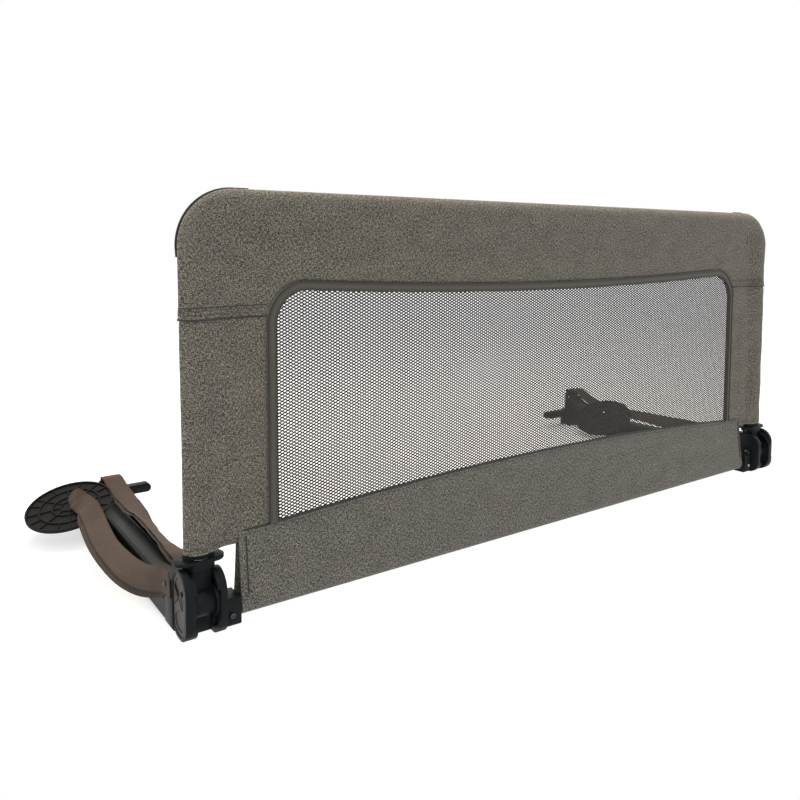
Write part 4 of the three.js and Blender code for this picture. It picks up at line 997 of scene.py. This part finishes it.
def sleeve_shell(half):
    """The band of cloth with its thickness, from one end to the other."""
    stations = np.concatenate([
        [-half, -half + 1 * MM], np.linspace(-half + 4 * MM, half - 4 * MM, 220), [half - 1 * MM, half]])
    points, lay = [], []
    for x in stations:
        near_end = half - abs(x)
        hem = 1.2 * MM if near_end < 11 * MM else 0.0
        belly = 2.2 * MM * math.exp(-((near_end - 0.12) / 0.1) ** 2)
        top = float(sleeve_top_at(x))
        outer, inner = sleeve_section(top), sleeve_section(top, SLEEVE_CLOTH, hem)
        lift = down_sleeve(outer[:, 1], top)
        for ring in (outer, inner):
            ring[:, 0] += np.sign(ring[:, 0]) * lift * belly
        loop = np.concatenate([outer, inner[::-1]])
        points += [(x, PLANE + y, z) for y, z in loop]
        lay += [(x, reach) for reach in reach_along(loop)]
    columns = len(loop)
    faces = grid_faces(len(stations), columns, around=True)
    sides = len(faces)
    for base in (0, (len(stations) - 1) * columns):
        for k in range(columns // 2 - 1):
            far = columns - 1 - k
            faces.append((base + k, base + k + 1, base + far - 1, base + far))
    piece = new_piece("sleeve_cloth", points, faces, sleeve_cloth, slot="heather_cloth")
    for cut_end in piece.data.polygons[sides:]:
        cut_end.use_smooth = False
    record_lay(piece, lay)
    facing_out(piece)
    place = points_of(piece)
    waves = ripple(place * (1, 0, 0.5), 0.16, 21) * 1.1 * MM
    waves += ripple(place * (1, 0, 1.2), 0.05, 22) * 0.35 * MM
    place[:, 1] += waves * down_sleeve(place[:, 2], SLEEVE_TOP)
    piece.data.vertices.foreach_set("co", place.ravel())
    piece.data.update()
    return piece


def sleeve_trims(surface, half):
    """The sleeve's stitches, and the name, line, direction and outline of each of its dark edgings."""
    rows, trims = [], []
    bead = round_outline(1.0 * MM)
    along = np.linspace(-half + 6 * MM, half - 6 * MM, 400)
    down = np.linspace(SLEEVE_TOP - 8 * MM, CROSS_TUBE - 8 * MM, 40)
    for y in (-1, 1):
        line = upright(np.stack([along, sleeve_top_at(along) - 6 * MM], 1), PLANE + y * 3.5 * MM)
        rows.append(stitch_row(*laid_on(surface, line, STITCH_LIFT)))
        for x in (-half + 11 * MM, half - 7 * MM):
            line = upright(np.stack([np.full(len(down), x), down], 1), PLANE + y * 12 * MM)
            rows.append(stitch_row(*laid_on(surface, line, STITCH_LIFT)))
            fold, _ = laid_on(surface, line + (1.6 * MM, 0, 0), 0.1 * MM)
            trims.append(("end_fold", fold, (1, 0, 0), bead))
    along = np.linspace(-half, half, 240)
    top = upright(np.stack([along, sleeve_top_at(along)], 1))
    trims.append(("top_trim", top, (0, 1, 0), pillow_outline(4.4 * MM, 6.8 * MM, 12, 0.7)))
    for end in (-half, half):
        section = sleeve_section(SLEEVE_TOP)
        rim = np.column_stack([np.full(len(section), end), section + (PLANE, 0)])
        trims.append(("end_rim", rim, (1, 0, 0), bead))
    return rows, trims


def sleeve():
    half = SLEEVE_HALF - 0.5 * MM
    piece = sleeve_shell(half)
    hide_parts("sleeve_band")
    rows, trims = sleeve_trims(surface_of(piece), half)
    parts = [piece, sewn("sleeve_stitches", rows, None)]
    for number, (label, line, up, outline) in enumerate(trims):
        name = f"sleeve_{label}_{number}"
        parts.append(swept_piece(name, line, up, outline, piping_and_shade_cloth, slot="dark_tape"))
    for part in parts:
        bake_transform(part)


# Webbing


def strap_rings(node):
    """The places along a strap and the direction of its width, from the rings of its frame mesh. A ring
    has four points: two edges as long as the webbing is thick, as far apart as it is wide."""
    mesh = bmesh.new()
    mesh.from_mesh(frame["nodes"][node].data)
    bmesh.ops.remove_doubles(mesh, verts=mesh.verts, dist=0.02 * MM)
    rail_middle = Vector((RAIL_MIDDLE, 0, 0))
    sides = [edge for edge in mesh.edges if abs(edge.calc_length() - STRAP_THICK) < 0.03 * MM]
    rings, taken = [], set()
    for first in sides:
        middle = (first.verts[0].co + first.verts[1].co) / 2
        across = []
        for edge in first.verts[0].link_edges:
            far = edge.other_vert(first.verts[0])
            for other in sides:
                if far in other.verts and abs(edge.calc_length() - STRAP_WIDE) < 0.05 * MM:
                    end = (other.verts[0].co + other.verts[1].co) / 2
                    across.append((abs((end - middle).length - STRAP_WIDE), other.index, other, end))
        if across and first.index not in taken:
            _, _, other, end = min(across)
            taken |= {first.index, other.index}
            place, width = (middle + end) / 2 - rail_middle, (end - middle).normalized()
            rings.append((place, width, {*first.verts, *other.verts}))

    def steps_from(ring):
        """How many edges each ring lies from one ring, as a function of the ring."""
        steps = {point: 0 for point in ring[2]}
        reached = list(ring[2])
        for point in reached:
            for edge in point.link_edges:
                following = edge.other_vert(point)
                if following not in steps:
                    steps[following] = steps[point] + 1
                    reached.append(following)
        return lambda other: min(steps[point] for point in other[2])

    start = max(rings, key=steps_from(rings[0]))
    rings.sort(key=steps_from(start))
    if rings[0][0].y > rings[-1][0].y:
        rings.reverse()
    rows = []
    for place, width, _ in rings:
        if rows and width.dot(Vector(rows[-1][3:])) < 0:
            width = -width
        rows.append([*place, *width])
    mesh.free()
    return np.array(rows)


def smooth_route(rows):
    """A smooth line through places, with the direction of the webbing's width and the reach along it."""
    step = 2.5 * MM
    places, widths = rows[:, :3], rows[:, 3:]
    spans = np.linalg.norm(np.diff(places, axis=0), axis=1) ** 0.5
    knots = np.concatenate([[0], np.cumsum(spans)])

    def through(values):
        slopes = np.gradient(values, knots, axis=0)
        where = np.linspace(0, knots[-1], 60 * len(knots))
        k = np.clip(np.searchsorted(knots, where, side="right") - 1, 0, len(knots) - 2)
        h = (knots[k + 1] - knots[k])[:, None]
        t = ((where - knots[k])[:, None]) / h
        return (
            values[k] * (2 * t**3 - 3 * t**2 + 1) + slopes[k] * h * (t**3 - 2 * t**2 + t)
            + values[k + 1] * (3 * t**2 - 2 * t**3) + slopes[k + 1] * h * (t**3 - t**2))

    both = np.concatenate([through(places), through(widths)], 1)
    reach = reach_along(both[:, :3])
    where = np.linspace(0, reach[-1], max(8, int(reach[-1] / step)))
    even = at_reach(where, reach, both)
    return even[:, :3], unit(even[:, 3:]), where


def webbing_piece(name, rows, material, out, seed, width=39 * MM, lift=0.0, shift=0.0, tuck=0.0,
                  wave=0.0, edge_wave=0.0):
    """A strap of webbing along a route. It can be lifted along its face, which is turned to the side
    that out gives at the bracket, and shifted along its width, which is turned upwards there. Its end
    can reach further in behind the cheek cover. Seeded waves run along it and along its edges."""
    thickness, fade_length = 1.7 * MM, 50 * MM
    if tuck:
        ahead = rows[0].copy()
        ahead[:3] += unit(rows[0, :3] - rows[1, :3]) * tuck
        rows = np.concatenate([[ahead], rows])
    places, widths, reach = smooth_route(rows)
    if widths[0][2] < 0:
        widths = -widths
    along = unit(np.gradient(places, axis=0))
    face = unit(np.cross(along, widths))
    widths = np.cross(face, along)
    turned = 1 if face[0][0] * out > 0 else -1
    outline = pillow_outline(width, thickness, 24, 0.45)
    across = outline[:, 0]
    bumps = ripple(np.stack([reach, reach * 0, reach * 0], 1), 50 * MM, seed) * wave
    fade = np.clip(np.minimum(reach, reach[-1] - reach) / fade_length, 0, 1)
    centre = places + turned * face * ((lift + bumps) * fade)[:, None] + widths * (shift * fade)[:, None]
    points = centre[:, None] + widths[:, None] * across[None, :, None]
    points = points + face[:, None] * outline[None, :, 1:2]
    if edge_wave:
        spread = np.stack(np.broadcast_arrays(reach[:, None], across[None] * 1.5, 0), -1).reshape(-1, 3)
        curl = ripple(spread, 35 * MM, seed + 5).reshape(len(reach), -1)
        curl = curl * np.clip(np.abs(across) / (width / 2), 0, 1) ** 2 * edge_wave * fade[:, None]
        points = points + face[:, None] * curl[..., None]
    return strip_piece(name, points, reach, across, material, body="base", slot="webbing")


def straps():
    for side in SIDES:
        bow, back, turn = (strap_rings(f"strap_{part}_{side}") for part in ("bow", "back", "return"))
        piece = webbing_piece(
            f"webbing_bow_{side}", bow, webbing, -1, 13, tuck=5 * MM, wave=0.3 * MM, edge_wave=0.5 * MM)
        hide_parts(f"strap_bow_{side}")
        piece = webbing_piece(
            f"webbing_back_{side}", back, webbing, 1, 11, wave=0.3 * MM, edge_wave=0.6 * MM)
        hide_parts(f"strap_back_{side}")
        # The return straps are drawn in the webbing's painted-shade copy.
        piece = webbing_piece(f"webbing_return_{side}", turn, shaded_webbing, -1, 12)
        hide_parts(f"strap_return_{side}")
    # Second layers of webbing under the left bow and back, drawn in the webbing's painted-shade copy
    bow, back = strap_rings("strap_bow_left"), strap_rings("strap_back_left")
    bow, back = bow[bow[:, 1] < 160 * MM], back[back[:, 1] < 240 * MM]
    webbing_piece("webbing_bow_lower_left", bow, shaded_webbing, -1, 15, width=38 * MM,
                  lift=-2.6 * MM, shift=-9 * MM, wave=0.4 * MM, edge_wave=0.8 * MM)
    webbing_piece("webbing_back_lower_left", back, shaded_webbing, 1, 14,
                  lift=3 * MM, shift=-6 * MM, wave=0.8 * MM, edge_wave=1.4 * MM)


# Anchor discs

DISC_RADIUS = 80 * MM
DISC_PLATE = 1.5 * MM
DISC_RISE = 3.2 * MM
RIDGE = 1.1 * MM

# Degrees that each disc is turned about Y, X and Z from lying flat
DISC_TILTS = {"right": (-27, 7, -105), "left": (12, 12, 0)}


def disc_place(side):
    """The matrix that sets a disc, drawn flat round its centre, in its tilted place."""
    joint = next(joint for joint in frame["joints"] if joint["name"] == f"disc_{side}_tilt")
    centre = Vector(joint["pos_m"]) - Vector((RAIL_MIDDLE, 0, 0))
    mirror = Matrix.Scale(SIDES[side], 4, (1, 0, 0))
    turn = Matrix.Identity(4)
    for degrees, axis in zip(DISC_TILTS[side], "YXZ"):
        turn = turn @ Matrix.Rotation(math.radians(degrees), 4, axis)
    return Matrix.Translation(centre) @ mirror @ turn


def disc_plate():
    """A round plate with a rim and three ring ribs, turned about its centre."""
    foot, edge, lip = RIDGE * 1.4, 0.8 * MM, 0.6 * MM
    rim_top, ridge_top = DISC_PLATE + DISC_RISE, DISC_PLATE + DISC_RISE * 0.8
    hub_top = DISC_PLATE + DISC_RISE * 0.64
    rim = DISC_RADIUS * 0.985 - RIDGE
    profile = [
        (DISC_RADIUS - edge, -DISC_PLATE), (DISC_RADIUS, edge - DISC_PLATE),
        (DISC_RADIUS, rim_top - lip), (DISC_RADIUS - lip, rim_top),
        (rim - RIDGE, rim_top), (rim - foot, DISC_PLATE)]
    for share, top in ((0.70, ridge_top), (0.40, ridge_top), (0.21, hub_top)):
        middle = DISC_RADIUS * share - RIDGE
        profile += [(middle + foot, DISC_PLATE), (middle + RIDGE, top)]
        profile += [(middle - RIDGE, top), (middle - foot, DISC_PLATE)]
    sides, count = 96, len(profile)
    points, faces = [], []
    for turn in np.arange(sides) * 2 * math.pi / sides:
        points += [(r * math.cos(turn), r * math.sin(turn), z) for r, z in profile]
    points += [(0, 0, -DISC_PLATE), (0, 0, DISC_PLATE)]
    under, over = sides * count, sides * count + 1
    for k in range(sides):
        here, following = k * count, (k + 1) % sides * count
        for j in range(count - 1):
            faces.append((here + j, following + j, following + j + 1, here + j + 1))
        faces.append((here, under, following))
        faces.append((here + count - 1, following + count - 1, over))
    return points, faces


def add_spoke(points, faces, turn, start, end, tall, half=RIDGE):
    """A tapered rib that stands on the disc along one direction from its centre."""
    out = np.array([math.cos(turn), math.sin(turn), 0])
    side = np.array([-out[1], out[0], 0])
    foot = (DISC_PLATE - 0.5 * MM, half * 1.3)
    crest = (DISC_PLATE + DISC_RISE * tall, half * 0.8)
    base = len(points)
    for share in (start, end):
        for z, wide in (foot, crest):
            for hand in (-1, 1):
                points.append(tuple(out * DISC_RADIUS * share + side * hand * wide + (0, 0, z)))
    block = [(0, 1, 3, 2), (4, 6, 7, 5), (0, 2, 6, 4), (1, 5, 7, 3), (2, 3, 7, 6), (0, 4, 5, 1)]
    faces += moved_on(block, base)


def cut_slot(piece, size):
    """Cuts a slot for the webbing through the middle."""
    mesh = bpy.data.meshes.new("slot")
    cutter = bmesh.new()
    bmesh.ops.create_cube(cutter, size=1.0, matrix=Matrix.Diagonal((*size, 1)))
    cutter.to_mesh(mesh)
    cutter.free()
    knife = bpy.data.objects.new("slot", mesh)
    bpy.context.scene.collection.objects.link(knife)
    carve = piece.modifiers.new("slot", "BOOLEAN")
    carve.object = knife
    carve.operation = "DIFFERENCE"
    carve.solver = "EXACT"
    carve.use_self = True
    apply_all(piece)
    bpy.data.objects.remove(knife)


def disc(side, direction):
    points, faces = disc_plate()
    spokes, hub_spokes = 16, 8
    for k in range(spokes):
        turn = 2 * math.pi * (k + 0.5) / spokes + 0.05 * math.sin(k * 2.3)
        if k % 2 == 0:
            add_spoke(points, faces, turn, 0.41, 0.685, 0.72)
        add_spoke(points, faces, turn, 0.71, 0.96, 0.72)
    for k in range(hub_spokes):
        add_spoke(points, faces, 2 * math.pi * k / hub_spokes + 0.2, 0.22, 0.39, 0.7, RIDGE * 0.8)
    piece = new_piece(f"disc_{side}", points, faces, disc_plastic, smooth=False)
    facing_out(piece)
    cut_slot(piece, (8 * MM, 48 * MM, 30 * MM))
    piece.data.transform(disc_place(side))
    if direction < 0:
        piece.data.flip_normals()
    soften(piece, 0.35 * MM, 50)
    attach(piece, f"anchor_{side}")
    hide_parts(f"anchor_disc_{side}")


def soften(piece, width, angle=35):
    """Rounds sharp edges and shades the rest smooth."""
    piece.data.shade_smooth()
    weld = piece.modifiers.new("weld", "WELD")
    weld.merge_threshold = 0.01 * MM
    bevel = piece.modifiers.new("soft_edges", "BEVEL")
    bevel.width = width
    bevel.segments = 2
    bevel.limit_method = "ANGLE"
    bevel.angle_limit = math.radians(angle)
    bevel.harden_normals = True


# Rigid pieces that keep their frame shape

# The finish of each kind of node, and how many millimetres its edges are rounded
RIGID = {
    "bracket": (black_plastic, 0.8),
    "cheek_cover": (grey_plastic, 0.4),
    "pivot_pin": (dark_steel, 0.4),
    "knuckle": (black_plastic, 0.5),
    "release_collar": (black_plastic, 0.7),
    "collar_rivet": (dark_steel, 0.3),
    "collar_spring": (dark_steel, 0),
    "lock_link": (dark_steel, 0.3),
    "lock_pin": (dark_steel, 0.4),
    "socket_screw": (bright_steel, 0.2),
    "tube_screw": (bright_steel, 0.2),
    "upright_tube": (tube_coat, 0.3),
    "corner_tube": (tube_coat, 0),
    "top_tube": (tube_coat, 0.3),
    "cross_tube": (tube_coat, 0.3),
    "cross_joiner": (grey_plastic, 0.5),
    "arm_tube": (tube_coat, 0.4),
    "arm_tray": (black_plastic, 0.6),
    "arm_foot": (black_plastic, 0.9),
    "strap_rivet_back": (dark_steel, 0.3),
    "strap_rivet_bow": (dark_steel, 0.3),
    "foam_side": (foam, 0.8),
    "foam_top": (foam, 0.8),
}


def rigid_pieces():
    """Finishes for the nodes that are shown as they are, with the left socket screw blackened."""
    for name, node in frame["nodes"].items():
        kind = name.removesuffix("_right").removesuffix("_left")
        if kind not in RIGID:
            continue
        material, edge = (dark_steel, 0.2) if name == "socket_screw_left" else RIGID[kind]
        node.data.materials.clear()
        node.data.materials.append(material)
        if edge:
            soften(node, edge * MM)


# Small mouldings on the brackets and collars


def collar_necks():
    """The neck that stands up from each collar into the cover's hem."""
    middle = (collar_low.x + collar_high.x) / 2 - RAIL_MIDDLE
    sides, bore = 32, 0.84
    low, high = collar_high.z - 0.4 * MM, HEM + 1 * MM
    rim = pillow_outline(44 * MM, 23 * MM, sides, 0.5)
    rings = ((1, low), (1, high), (bore, high), (bore, low))
    count = len(rings) * sides
    faces = [tuple(i % count for i in face) for face in grid_faces(len(rings) + 1, sides, around=True)]
    for side, direction in SIDES.items():
        centre = (direction * middle, PLANE)
        points = [(*(centre + place * share), z) for share, z in rings for place in rim]
        piece = new_piece(f"collar_neck_{side}", points, faces, black_plastic, body=f"collar_{side}",
                          slot="black_plastic", smooth=False)
        facing_out(piece)


def springs():
    """Gives each collar spring a mesh of its own. The springs shorten by their collar's travel when it
    is lifted.
    """
    for side in SIDES:
        spring = f"collar_spring_{side}"
        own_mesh(frame["nodes"][spring])


def cheek_mouldings():
    """Dark wedges at the front and rear of each cheek cover, and thin ribs crossed between them."""
    face = cheek_high.x - RAIL_MIDDLE
    centre = np.array([(cheek_low.y + cheek_high.y) / 2, (cheek_low.z + cheek_high.z) / 2])
    sunk, wedge_high, rib_high, rib_half = 0.3 * MM, 0.6 * MM, 1.0 * MM, 0.6 * MM
    rear_high, rear_low = np.array([(22, 26), (19, -5)]) * MM
    front_high, front_low = np.array([(-10.5, 23), (-13, -4)]) * MM
    outlines = [
        ([rear_high, np.array([6, 9]) * MM, rear_low], wedge_high),
        ([front_high, np.array([2, 9]) * MM, front_low], wedge_high)]
    for start, end in ((rear_high, front_low), (rear_low, front_high)):
        aside = unit(end - start)[::-1] * (1, -1) * rib_half
        outlines.append(([start + aside, end + aside, end - aside, start - aside], rib_high))
    for side, direction in SIDES.items():
        points, faces = [], []
        for outline, high in outlines:
            base, count = len(points), len(outline)
            for x in (face - sunk, face + high):
                points += [(direction * x, *(centre + place)) for place in outline]
            faces += moved_on(grid_faces(2, count, around=True, ends=True), base)
        piece = new_piece(f"cheek_ribs_{side}", points, faces, black_plastic, body="base",
                          slot="black_plastic", smooth=False)
        facing_out(piece)


camera()
studio()
covers()
edge_piping()
binding()
window_net()
sleeve()
straps()
for side, direction in SIDES.items():
    disc(side, direction)
rigid_pieces()
collar_necks()
springs()
cheek_mouldings()
